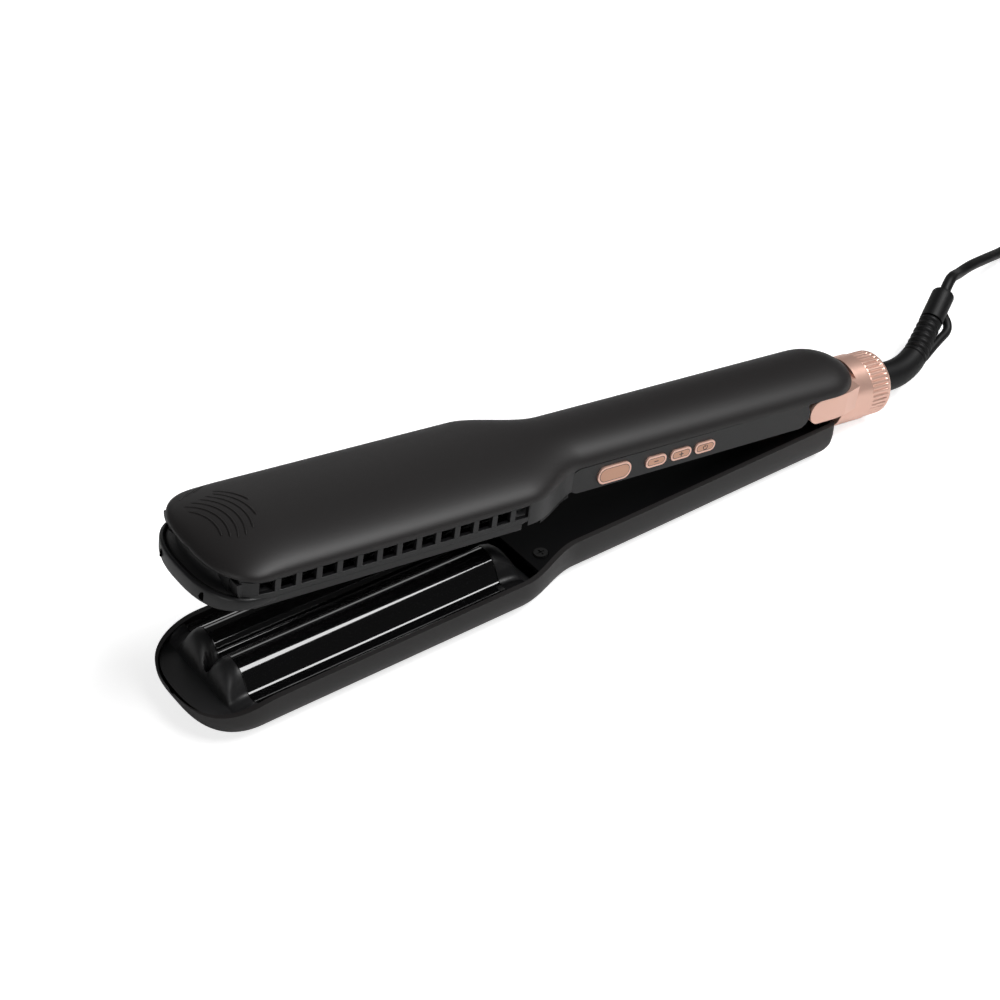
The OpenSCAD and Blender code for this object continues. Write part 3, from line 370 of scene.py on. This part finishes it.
# Angle, radius and height from the top layer
TAIL = [(75, 32.2, 0), (60, 34, 0), (45, 36.2, -0.2), (30, 38, -0.8), (15, 39.2, -2), (0, 39.6, -3.6),
        (-15, 39.6, -5.6), (-30, 39.6, -7.8), (-45, 39.6, -9.8), (-60, 39.4, -11.2), (-75, 39.1, -12)]
PLUG = (338, COIL_CENTRE[1] - 39, 7)


def relief_at(s):
    """Centre line of the strain relief: straight out, a bend, and straight again."""
    a = min(RELIEF_BEND, max(0.0, (s - RELIEF_LEAD) / RELIEF_R))
    extra = max(0.0, s - RELIEF_LEAD - RELIEF_ARC)
    along = min(s, RELIEF_LEAD) + RELIEF_R * math.sin(a) + extra * math.cos(a)
    off = RELIEF_R * (1 - math.cos(a)) + extra * math.sin(a)
    return (RELIEF_START + along, off * math.cos(RELIEF_ROLL), AXIS_Z + off * math.sin(RELIEF_ROLL))


def coil_at(u):
    """Centre line of the coil after u turns."""
    layer = math.floor(u / (COIL_LAP + STEP_UP))
    v = u - layer * (COIL_LAP + STEP_UP)
    spiral = min(v, COIL_LAP) * COIL_PITCH
    r = COIL_OUT - spiral if layer % 2 == 0 else COIL_IN + spiral
    a = math.radians(90 - 360 * u)
    climb = ease((v - COIL_LAP) / STEP_UP)
    return (COIL_CENTRE[0] + r * math.cos(a), COIL_CENTRE[1] + r * math.sin(a),
            COIL_FLOOR + COIL_RISE * (layer + climb))


def smooth_path(points, steps):
    """Catmull-Rom through the points."""
    out = []
    for i in range(len(points) - 1):
        a, b = Vector(points[max(0, i - 1)]), Vector(points[i])
        c, d = Vector(points[i + 1]), Vector(points[min(len(points) - 1, i + 2)])
        for k in range(steps):
            t = k / steps
            out.append(0.5 * (2 * b + (c - a) * t + (2 * a - 5 * b + 4 * c - d) * t * t
                              + (3 * b - a - 3 * c + d) * t ** 3))
    return out + [Vector(points[-1])]


relief_end = at_upper(relief_at(RELIEF_LEN)) / MM
relief_out = (relief_end - at_upper(relief_at(RELIEF_LEN - 0.2)) / MM).normalized()
run = smooth_path([relief_end, relief_end + 2 * CORD_D * relief_out, *ROUTE, coil_at(0)], 4)
coil = [Vector(coil_at(i / 48)) for i in range(1, COIL_TURNS * 48)]
drop = [(COIL_CENTRE[0] + r * math.cos(math.radians(a)), COIL_CENTRE[1] + r * math.sin(math.radians(a)),
         COIL_TOP + z) for a, r, z in TAIL]
tail = smooth_path([coil_at(COIL_TURNS), *drop, (COIL_CENTRE[0], PLUG[1], PLUG[2]), PLUG], 3)
cord_path = run + coil + tail
cord_rings = tube_rings(cord_path, [CORD_D / 2] * len(cord_path), 16)
cord = loft("cord", cord_rings, lambda p: Vector(p) * MM)
dress(cord, "cord", "cord", RUBBER, "cord_run", "cord_coil", "cord_tail")

# ---- moulded shells ---------------------------------------------------------------
ACROSS = 64      # facets across a shell


def section(x, half, edge, rise, inner_half, inner_rise, n):
    """A closed ring: the outside from edge to edge, and back along the inside."""
    outer = [arc_point(math.pi * j / ACROSS, half, rise, n) for j in range(ACROSS + 1)]
    inner = [arc_point(math.pi * j / ACROSS, inner_half, inner_rise, n) for j in range(ACROSS, -1, -1)]
    return [(x, y, edge + z) for y, z in outer + inner]


def shell_rings():
    rings = []
    for x in stations(-SHELL_REACH, SHELL_TAIL):
        rise = shell_rise(x, CROWN_H)
        rings.append(section(x, shell_half(x), EDGE_Z, rise, max(0.2, shell_half(x) - WALL),
                             max(0.15, rise - WALL * shell_rise(x, 1)), SHELL_SQUARE))
    return rings


def lower_rings():
    rings = []
    for x in stations(-LOWER_REACH, LOWER_REAR):
        drop = lower_drop(x)
        rings.append(section(x, lower_half(x), lower_rim(x), -drop, max(0.2, lower_half(x) - WALL),
                             -max(0.15, drop - WALL * drop / lower_rim(x)), LOWER_SQUARE))
    return rings


top_shell = bevel(loft("top_shell", shell_rings(), at_upper), 0.5)
dress(top_shell, "upper_arm", "shell", SHELL, "upper_shell")
bottom_shell = bevel(loft("bottom_shell", lower_rings(), at_lower), 0.35)
dress(bottom_shell, "lower_arm", "shell", SHELL, "lower_shell")


# Grip ripples on the shell's tip: arcs about points on the middle line, each with its two ends
RIPPLE_APEX, RIPPLE_STEP, RIPPLE_R, RIPPLE_THICK = -274.3, 2.72, 23.0, 0.42
RIPPLE_ENDS = [(-6.7, 11.5), (-9, 15), (-10.6, 15.2), (-10.8, 15), (-8.7, 15.2), (-3.3, 15.3), (5.5, 17)]
# Short strokes on the far side, from (station, y) to (station, y)
FAR_STROKES = [((-276.0, 19.6), (-271.5, 22.0)), ((-273.2, 20.2), (-268.6, 22.7)),
               ((-270.2, 20.8), (-265.6, 23.2))]


def shell_top(x, y):
    """The crown's height at a place on the upper shell."""
    share = max(0.0, 1 - (abs(y) / shell_half(x)) ** SHELL_SQUARE)
    return (x, y, EDGE_Z + shell_rise(x, CROWN_H) * share ** (1 / SHELL_SQUARE))


def ripple_parts():
    parts = []
    for i, (near, far) in enumerate(RIPPLE_ENDS):
        apex = RIPPLE_APEX + RIPPLE_STEP * i
        path = [shell_top(apex - RIPPLE_R + math.sqrt(RIPPLE_R ** 2 - y * y), y)
                for y in spread(near, far, 28)]
        radii = [RIPPLE_THICK * (1 - 0.45 * t) for t in spread(0, 1, 28)]
        radii[0] *= 0.45
        radii[-1] *= 0.2
        parts.append(tube_rings(path, radii, 12))
    for a, b in FAR_STROKES:
        path = [shell_top(a[0] + (b[0] - a[0]) * t, a[1] + (b[1] - a[1]) * t) for t in spread(0, 1, 8)]
        parts.append(tube_rings(path, [RIPPLE_THICK * 0.5] * 9, 12))
    return parts


ripples = joined("ripples", ripple_parts(), at_upper, 0)
dress(ripples, "upper_arm", "shell", SHELL)


# ---- wave plates and their end caps ---------------------------------------------------
CREST_MID = CREST_Z - BARREL_R
ARC_W = BARREL_R * math.sin(SLOPE)
ARC_END = CREST_MID + BARREL_R * math.cos(SLOPE)
VALLEY_W = BARREL_Y - ARC_W
VALLEY_R = VALLEY_W / math.sin(SLOPE)
VALLEY_Z = ARC_END - VALLEY_R * (1 - math.cos(SLOPE))
FALL = ARC_END - FLANGE_Z - FILLET * (1 - math.cos(SLOPE))
FOOT_Y = BARREL_Y + ARC_W + FALL / math.tan(SLOPE) + FILLET * math.sin(SLOPE)


def half_wave(steps):
    """The lower plate's top face from the middle outwards, as (y, z)."""
    pts = [(VALLEY_R * math.sin(a), VALLEY_Z + VALLEY_R * (1 - math.cos(a))) for a in spread(0, SLOPE, steps)]
    pts += [(BARREL_Y + BARREL_R * math.sin(a), CREST_MID + BARREL_R * math.cos(a))
            for a in spread(-SLOPE, SLOPE, 2 * steps)[1:]]
    pts += [(FOOT_Y - FILLET * math.sin(a), FLANGE_Z + FILLET * (1 - math.cos(a)))
            for a in spread(SLOPE, 0, steps)]
    return pts + [(PLATE_HALF - 2.2, FLANGE_Z), (PLATE_HALF - 0.6, FLANGE_Z + 0.6), (PLATE_HALF, LIP_Z)]


def full_wave(steps, reach=PLATE_HALF):
    half = [p for p in half_wave(steps) if p[0] <= reach + 0.01]
    return [(-y, z) for y, z in reversed(half[1:])] + half


def wave_plate(name, z0, thick, place):
    face = [(y, z + z0) for y, z in full_wave(16)]
    back = [(y, z + thick) for y, z in reversed(face)]
    rings = [[(x, y, z) for y, z in face + back] for x in (PLATE_FRONT, PLATE_REAR)]
    return bevel(loft(name, rings, place, sharp=35), 0.15, angle=50)


def wave_cap(name, start, toward, length, base, z0, reach, place):
    """The wave sinks along a quarter ellipse into a flat base."""
    face = [(y, z + z0) for y, z in full_wave(12, reach)]
    rings = []
    for i in range(17):
        t = math.sin(math.pi / 2 * i / 16) * 0.995
        k = math.sqrt(1 - t * t)
        row = [(start + toward * length * t, y, base + (z - base) * k) for y, z in face]
        rings.append(row + [(row[-1][0], row[-1][1], base), (row[0][0], row[0][1], base)])
    return loft(name, rings, place, sharp=50)


lower_plate = wave_plate("lower_plate", 0, -PLATE_T, at_lower)
dress(lower_plate, "lower_arm", "plate", PLATE, "lower_wave_plate")
upper_plate = wave_plate("upper_plate", HAIR_GAP, PLATE_T, at_upper)
dress(upper_plate, "upper_arm", "plate", PLATE, "upper_wave_plate")
LOWER_BASE, CAP_BASE = 10.2, 25.9       # heights of the caps' flat bases
REAR_CAP, FRONT_CAP = 10, 7             # lengths of the caps
CAPS = [("lower_rear_cap", "lower_arm", PLATE_REAR + SEAT, 1, REAR_CAP, LOWER_BASE, 0, FOOT_Y, at_lower),
        ("upper_rear_cap", "upper_arm", PLATE_REAR + SEAT, 1, REAR_CAP, CAP_BASE, HAIR_GAP, PLATE_HALF,
         at_upper),
        ("upper_front_cap", "upper_arm", PLATE_FRONT - SEAT, -1, FRONT_CAP, CAP_BASE, HAIR_GAP, PLATE_HALF,
         at_upper)]
for name, body, *rest in CAPS:
    dress(wave_cap(name, *rest), body, "frame", SATIN, name + "s")

# ---- scooped tip of the lower arm ---------------------------------------------------------
TIP_IN = 1.5            # tip piece inside the rim
MOUND_LEN, MOUND_BASE = 7.2, 10.2
HOLE_X, HOLE_R, HOLE_FLOOR, HOLE_EDGE = -275.4, 2.4, 10.0, 0.3     # hole of the tip's screw
DISH_Z, DISH_RIM = 11.3, 0.9        # height of the dish, and its edge's depth below the rim
BLEND = 2.2                         # length over which mounds and dish run together


def wave_height(y):
    """Height of the lower plate's face at a distance from the middle."""
    y = abs(y)
    pts = half_wave(12)
    for (y0, z0), (y1, z1) in zip(pts, pts[1:]):
        if y0 <= y <= y1:
            return z0 + (z1 - z0) * (y - y0) / max(1e-9, y1 - y0)
    return LIP_Z


def soft_max(a, b, k):
    """The larger of two heights, rounded where they are nearly the same."""
    h = max(0.0, k - abs(a - b)) / k
    return max(a, b) + h * h * k / 4


def tip_height(x, y, edge):
    """Height of the tip's moulding; edge is 1 at the rim and 0 at the plate."""
    d = min(1.0, (PLATE_FRONT - SEAT - x) / MOUND_LEN)
    mound = MOUND_BASE + (min(wave_height(y), CREST_Z) - MOUND_BASE) * math.sqrt(max(0.0, 1 - d * d))
    dish = DISH_Z + (lower_rim(x) - DISH_RIM - DISH_Z) * edge ** 5
    z = soft_max(mound, dish, BLEND)
    r = math.hypot(x - HOLE_X, y)
    return z - (z - HOLE_FLOOR) * (1 - ease((r - HOLE_R + HOLE_EDGE / 2) / HOLE_EDGE))


def tip_dish():
    """The scooped moulding in front of the plate, as rows from the plate to the rim."""
    rows, across = 110, 200
    length, square = LOWER_TIP
    wide = LOWER_W / 2 - TIP_IN - 0.1
    seam = PLATE_FRONT - SEAT
    verts = []
    for i in range(rows + 1):
        t = i / rows
        for j in range(across + 1):
            a = math.radians(-90 + 180 * j / across)
            y = wide * math.copysign(abs(math.sin(a)) ** (2 / square), a)
            rim = length - LOWER_REACH - (length - TIP_IN) * abs(math.cos(a)) ** (2 / square)
            x = seam + (rim - seam) * t if rim < seam else seam
            verts.append(at_lower((x, y, tip_height(x, y, t))))
    n = across + 1
    faces = [(i * n + j, i * n + j + 1, (i + 1) * n + j + 1, (i + 1) * n + j)
             for i in range(rows) for j in range(across)]
    obj = new_object("tip_dish", verts, faces)
    obj.data.set_sharp_from_angle(angle=math.radians(60))
    return obj


dress(tip_dish(), "lower_arm", "frame", TIP, "lower_front_caps")


# ---- vent frame and nose of the upper arm ---------------------------------------------------
FRAME_IN, FRAME_T = 0.5, 1.8        # wall inside the shell's outline, and its thickness
VENT_FIRST = PLATE_FRONT - 0.55     # front of the first opening
VENT_TOP = EDGE_Z - 0.9
VENT_LOW = VENT_TOP - VENT_H
WALL_FRONT, WALL_SPLIT, WALL_REAR = PLATE_FRONT - 6, NECK_FRONT - 1, -27
LAP = 0.05                          # how far the bars reach into the walls
LIP_REAR, LIP_INSET, LIP_ROUND = -266, 0.6, (17, 2.5)


def wall_strip(x0, x1, z0, z1, side, steps):
    """A stretch of side wall that follows the shell's outline."""
    rings = []
    for x in spread(x0, x1, steps):
        out = shell_half(x) - FRAME_IN
        rings.append([(x, side * (out - t), z) for t, z in ((0, z0), (0, z1), (FRAME_T, z1), (FRAME_T, z0))])
    return rings


def plan_ring(z, less, dip=0.0):
    """The lip's outline, smaller by less, at height z, which follows the lower rim with a dip of 1."""
    pts = []
    for x in spread(-LIP_REACH + less, LIP_REAR, 40, 2.2):
        half = (SHELL_W / 2 - LIP_INSET - less) * end_round(x + LIP_REACH - less, *LIP_ROUND)
        pts.append((x, -max(0.4, half)))
    low = [(x, y, z + dip * (lower_rim(x) - RIM_Z)) for x, y in pts]
    return low + [(x, -y, z) for x, y, z in reversed(low)]


def round_front(outlines):
    """Places along the outlines from one rear end round the front to the other."""
    count = len(outlines[0])
    order = list(range(count // 2 - 1, -1, -1)) + list(range(count - 1, count // 2 - 1, -1))
    return [[line[k] for line in outlines] for k in order]


# Height of the nose and distance inside the lip's outline
NOSE = ((20.2, 1.7), (20.8, 2.0), (21.2, 2.6), (21.8, 3.9), (23, 5.0), (24.6, 5.2), (26, 4.6), (27.3, 3.5))
# The lip and nose are open behind this station and between these sides
BAY_X, BAY_Y, NOSE_BAY_Y = -279.6, 25.2, 19.5


def bay_side(ring, half):
    """The place on the bay's edge that belongs to a section of the lip or nose."""
    x, y, _ = ring[0]
    return (max(x, BAY_X), min(half, max(-half, y)))


def nose_rings():
    """The recess between the lip and the shell, round the open bay."""
    rings = []
    for ring in round_front([plan_ring(z, less) for z, less in NOSE]):
        inner = bay_side(ring, NOSE_BAY_Y)
        rings.append(ring + [(*inner, NOSE[-1][0]), (*inner, NOSE[0][0])])
    return rings


def frame_parts():
    """Side walls above and below the vents, the bars between them, and the handle's walls."""
    firsts = [VENT_FIRST + i * VENT_PITCH for i in range(VENT_COUNT + 1)]
    bars = [(x - VENT_BAR, x) for x in firsts]
    bars[0] = (WALL_FRONT, VENT_FIRST)
    bars[-1] = (bars[-1][0], WALL_SPLIT)
    parts = []
    for side in (-1, 1):
        parts.append(wall_strip(WALL_FRONT, WALL_SPLIT, SEAM_Z, VENT_LOW, side, 24))
        parts.append(wall_strip(WALL_FRONT, WALL_SPLIT, VENT_TOP, DECK_TOP, side, 24))
        for x0, x1 in bars:
            parts.append(wall_strip(x0, x1, VENT_LOW - LAP, VENT_TOP + LAP, side, 3))
        parts.append(wall_strip(WALL_SPLIT, WALL_REAR, BELLY_Z + 1.6, DECK_TOP, side, 60))
    return parts


def deck_rings():
    """The roof plate below the shell."""
    corners = ((-1, DECK_LOW), (1, DECK_LOW), (1, DECK_TOP), (-1, DECK_TOP))
    return [[(x, side * (shell_half(x) - 1), z) for side, z in corners]
            for x in spread(WALL_FRONT + 1, WALL_REAR, 60)]


vent_frame = joined("vent_frame", frame_parts(), at_upper, 0.25)
dress(vent_frame, "upper_arm", "frame", SATIN, "upper_frame")
nose = loft("nose", nose_rings(), at_upper, sharp=60)
dress(nose, "upper_arm", "frame", SATIN)
deck = loft("deck", deck_rings(), at_upper)
dress(deck, "upper_arm", "frame", SATIN)

# ---- lip below the nose, and the rails beside the upper plate ---------------------------------
# Distance inside the outline, with the height above the lower rim below and the height itself on top
LIP_LOW = [(1.7, 1.2), (0.8, 1.35), (0.25, 1.9), (0.0, 2.8)]
LIP_TOP = [(0.0, 19.6), (0.1, 20.2), (0.4, 20.7), (0.9, 20.95), (1.4, 20.8), (1.7, 20.2)]
LIP_HOLE, LIP_HOLE_R, LIP_HOLE_IN = (-285.34, 14.04, 17.4), 1.5, (0.6, -0.528, 0)


def lip_rings():
    """Sections of the lip, from one rear end round the front to the other."""
    profile = [plan_ring(RIM_Z + above, less, 1) for less, above in LIP_LOW]
    profile += [plan_ring(z, less) for less, z in LIP_TOP]
    rings = []
    for ring in round_front(profile):
        inner = bay_side(ring, BAY_Y)
        rings.append(ring + [(*inner, 19.9), (*inner, lower_rim(ring[0][0]) + 1.3)])
    return rings


def lip_hole_shade_parts():
    """Black stubs set into the lip's face: painted shade for the inside of its two holes."""
    parts = []
    for side in (-1, 1):
        outer = Vector((LIP_HOLE[0], side * LIP_HOLE[1], LIP_HOLE[2]))
        inward = Vector((LIP_HOLE_IN[0], side * LIP_HOLE_IN[1], LIP_HOLE_IN[2]))
        parts.append(tube_rings([outer + inward, outer], [LIP_HOLE_R] * 2, 32))
    return parts


def rail_rings(side):
    """A rail beside the upper plate."""
    y0, y1, z0, z1 = side * (PLATE_HALF + 0.25), side * (SHELL_W / 2 - 1.1), BELLY_Z, SEAM_Z - 0.25
    return [[(x, y0, z0), (x, y1, z0), (x, y1, z1), (x, y0, z1)] for x in (PLATE_FRONT - 2, PLATE_REAR + 2)]


lip = loft("lip", lip_rings(), at_upper, sharp=50)
dress(lip, "upper_arm", "frame", SATIN, "plate_carrier")
# Painted shade for the lip's two holes, set flush into its face
lip_hole_shade = joined("lip_hole_shade", lip_hole_shade_parts(), at_upper, 0)
dress(lip_hole_shade, "upper_arm", "frame", PAINTED_HOLE_SHADE)
rails = joined("rails", [rail_rings(-1), rail_rings(1)], at_upper, 0.3)
dress(rails, "upper_arm", "frame", SATIN)

# ---- faces of the buttons ---------------------------------------------------------------
BUTTON_Y, BUTTON_Z = -17.0, 22.0         # front and middle height of the buttons
BUTTONS = [("heat_button", -121.5, 15, 7), ("minus_button", -102.3, 9.6, 4.4),
           ("plus_button", -90.5, 9.6, 4.4), ("power_button", -79.0, 9.6, 4.4)]
FACE_RIM, FACE_LINE = 0.75, 0.22         # rim round a face and the dark line inside it
SUNK, LINE_OUT, FACE_OUT = 0.1, 0.02, 0.09       # depth in the button and height above it
MARK_LONG, MARK_WIDE, MARK_OUT, ARC_R = 2.0, 0.34, 0.13, 0.95


def pill_rings(x, size, y0, y1, z=BUTTON_Z):
    """A round-ended slab between two distances from the middle."""
    r = min(size) / 2 - 0.02
    pts = []
    for sx, sz, start in ((1, 1, 0), (-1, 1, 90), (-1, -1, 180), (1, -1, 270)):
        for a in spread(start, start + 90, 10):
            pts.append((x + sx * (size[0] / 2 - r) + r * math.cos(math.radians(a)),
                        z + sz * (size[1] / 2 - r) + r * math.sin(math.radians(a))))
    return [[(px, y, pz) for px, pz in pts] for y in (y0, y1)]


def mark_parts(name, x):
    """A minus, a plus or a power sign on a small button."""
    y0, y1 = BUTTON_Y - LINE_OUT, BUTTON_Y - MARK_OUT
    bar = pill_rings(x, (MARK_LONG, MARK_WIDE), y0, y1)
    if name == "minus_button":
        return [bar]
    if name == "plus_button":
        return [bar, pill_rings(x, (MARK_WIDE, MARK_LONG), y0, y1 - 0.005)]
    arc = [(x + ARC_R * math.sin(a), BUTTON_Y - 0.08, BUTTON_Z + ARC_R * math.cos(a))
           for a in spread(0.6, 5.68, 20)]
    return [tube_rings(arc, [0.15] * 21, 8, up=(0, 1, 0)), pill_rings(x, (0.3, 1.1), y0, y1, BUTTON_Z + 0.6)]


for name, x, long, high in BUTTONS:
    lined = (long - 2 * FACE_RIM, high - 2 * FACE_RIM)
    faced = (lined[0] - 2 * FACE_LINE, lined[1] - 2 * FACE_LINE)
    line = joined(name + "_line", [pill_rings(x, lined, BUTTON_Y + SUNK, BUTTON_Y - LINE_OUT)], at_upper, 0)
    dress(line, name, "rose_gold", SWITCH)
    slab = pill_rings(x, faced, BUTTON_Y + SUNK, BUTTON_Y - FACE_OUT)
    face = joined(name + "_face", [slab], at_upper, 0.03)
    dress(face, name, "rose_gold", INSET)
    if name != "heat_button":
        mark = joined(name + "_mark", mark_parts(name, x), at_upper, 0)
        dress(mark, name, "rose_gold", SWITCH)

# ---- knurled lock ring --------------------------------------------------------------------
GROOVES, GROOVE_DEEP, FACETS = 40, 0.5, 480
KNURL = RING_W - 2.4                # length of the knurled part
RING_TAIL = RING_END - 1            # rear end of the dome
RING_BORE, CHAMFER, RUN_OUT = 5.7, 0.5, 0.8


def ring_radius(along, angle):
    """The ring's radius: chamfer, grooves that run out at both ends, and the dome."""
    back = along - RING_FRONT
    if back < CHAMFER:
        return RING_R - 0.4 * (1 - back / CHAMFER)
    if back <= KNURL:
        edge = min(1.0, (back - CHAMFER) / RUN_OUT, (KNURL - back) / RUN_OUT)
        return RING_R - GROOVE_DEEP * max(0.0, edge) * (0.5 + 0.5 * math.cos(GROOVES * angle)) ** 3
    t = (back - KNURL) / (RING_TAIL - RING_FRONT - KNURL)
    return RING_BORE + (RING_R - RING_BORE) * math.sqrt(max(0.0, 1 - t ** 2.2))


def ring_object():
    """The lock ring, from its front face over the dome and back into the bore."""
    angles = spread(0, 2 * math.pi, FACETS)[:-1]
    rear = RING_FRONT + KNURL
    alongs = [RING_FRONT + d for d in (0, 0.25, 0.5, 0.9, 1.3)]
    alongs += [rear - 1.3, rear - 0.9, rear - 0.5, *spread(rear, RING_TAIL, 16)]
    rings = [[ring_point(x, ring_radius(x, a), a) for a in angles] for x in alongs]
    rings.append([ring_point(RING_FRONT + 2, RING_BORE, a) for a in angles])
    rings.append(rings[0])
    return loft("knurled_ring", rings, at_upper, caps=False, sharp=50)


dress(ring_object(), "lock_ring", "rose_gold", ROSE, "lock_ring")

# ---- strain relief ------------------------------------------------------------------------
RELIEF_D, RELIEF_THIN, RELIEF_FRONT = 12.0, CORD_D + 4.9, 4.2     # thick and thin end, and front
RIBS, RIB_FROM, RIB_TO, RIB_DEEP = 7, 29.5, 51.0, 0.9
TAPER_FROM = 8


def relief_radius(s):
    """The relief's radius at a station: a taper with grooves between the ribs."""
    r = RELIEF_D / 2 - (RELIEF_D - RELIEF_THIN) / 2 * ease((s - TAPER_FROM) / (RIB_TO - TAPER_FROM))
    if RIB_FROM < s < RIB_TO:
        t = (s - RIB_FROM) / (RIB_TO - RIB_FROM) * RIBS % 1
        r -= RIB_DEEP * (0.5 + 0.5 * math.cos(2 * math.pi * t)) ** 1.5
    return r


relief_stations = [RELIEF_FRONT, RELIEF_FRONT + 0.3, *spread(5, RIB_FROM, 30),
                   *spread(RIB_FROM, RIB_TO, 168)[1:], *spread(RIB_TO + 0.5, RELIEF_LEN - 0.6, 8),
                   RELIEF_LEN - 0.25, RELIEF_LEN]
relief_radii = [relief_radius(s) for s in relief_stations]
relief_radii[-1] -= 0.6     # rounded end
relief_radii[-2] -= 0.15
RELIEF_UP = (0, -math.sin(RELIEF_ROLL), math.cos(RELIEF_ROLL))
relief_rows = tube_rings([relief_at(s) for s in relief_stations], relief_radii, 48, RELIEF_UP)

# Hang loop on the outside of the bend: station along the relief and distance out from its middle
LOOP = [(28.5, 2.6), (34, 4.1), (41, 5.7), (47, 7.2), (51.2, 8.3), (53.8, 8.2), (55.8, 7.0),
        (57, 5.2), (58.2, 2.8)]
LOOP_R = 1.85


def beside_relief(s, out):
    """A place in the plane of the bend, on its outer side."""
    a = min(RELIEF_BEND, max(0.0, (s - RELIEF_LEAD) / RELIEF_R))
    x, y, z = relief_at(s)
    return (x + out * math.sin(a), y - out * math.cos(a) * math.cos(RELIEF_ROLL),
            z - out * math.cos(a) * math.sin(RELIEF_ROLL))


loop_path = smooth_path([beside_relief(s, out) for s, out in LOOP], 8)
loop_rows = tube_rings(loop_path, [LOOP_R] * len(loop_path), 24, RELIEF_UP)
relief = joined("relief", [relief_rows, loop_rows], at_upper, 0)
dress(relief, "cord", "cord", RUBBER, "strain_relief")

# ---- floor, lamps and world ---------------------------------------------------------------
FLOOR_LIFT = 0.75       # emission that makes the lit floor white and leaves its shadows
WORLD_LIGHT = 0.04      # the white surroundings as the object sees them
FLOOR_HALF, FLOOR_DROP = 3, 0.0002


def seen_white(tree, weak, strong=1.0):
    """The strong value for camera and transmitted rays, and the weak one for the rest."""
    path = tree.nodes.new("ShaderNodeLightPath")
    either = tree.nodes.new("ShaderNodeMath")
    either.operation = "MAXIMUM"
    tree.links.new(path.outputs["Is Camera Ray"], either.inputs[0])
    tree.links.new(path.outputs["Is Transmission Ray"], either.inputs[1])
    span = tree.nodes.new("ShaderNodeMapRange")
    span.inputs["To Min"].default_value = weak
    span.inputs["To Max"].default_value = strong
    tree.links.new(either.outputs[0], span.inputs["Value"])
    return span.outputs["Result"]


world = bpy.data.worlds.new("world")
bpy.context.scene.world = world
world.use_nodes = True
background = world.node_tree.nodes["Background"]
background.inputs["Color"].default_value = (1, 1, 1, 1)
world.node_tree.links.new(seen_white(world.node_tree, WORLD_LIGHT), background.inputs["Strength"])

floor_mat = bpy.data.materials.new("floor_white")
floor_mat.use_nodes = True
tree = floor_mat.node_tree
shader = tree.nodes["Principled BSDF"]
shader.inputs["Base Color"].default_value = (0.82, 0.82, 0.82, 1)
shader.inputs["Roughness"].default_value = 0.9
shader.inputs["Specular IOR Level"].default_value = 0.0
shader.inputs["Emission Color"].default_value = (1, 1, 1, 1)
tree.links.new(seen_white(tree, 0.0, FLOOR_LIFT), shader.inputs["Emission Strength"])
corners = [(x * FLOOR_HALF, y * FLOOR_HALF, 0) for x, y in ((-1, -1), (1, -1), (1, 1), (-1, 1))]
floor = new_object("floor", corners, [(0, 1, 2, 3)])
floor.location.z = -FLOOR_DROP
floor.data.materials.append(floor_mat)


def lamp(name, at, toward, size, power):
    """A soft box that faces a place; power in watts."""
    light = bpy.data.lights.new(name, "AREA")
    light.shape = "RECTANGLE"
    light.size, light.size_y = size
    light.energy = power
    obj = bpy.data.objects.new(name, light)
    obj.location = at
    obj.rotation_euler = (Vector(toward) - Vector(at)).to_track_quat("-Z", "Y").to_euler()
    bpy.context.scene.collection.objects.link(obj)


lamp("key", (0.5, -0.5, 1.15), (0, 0, 0), (1.3, 0.5), 18)
lamp("back", (0.3, 1.2, 0.5), (0, 0, 0), (1.2, 0.3), 1)
lamp("left", (-1.2, -0.4, 0.5), (-0.1, 0, 0), (0.6, 0.5), 2.5)
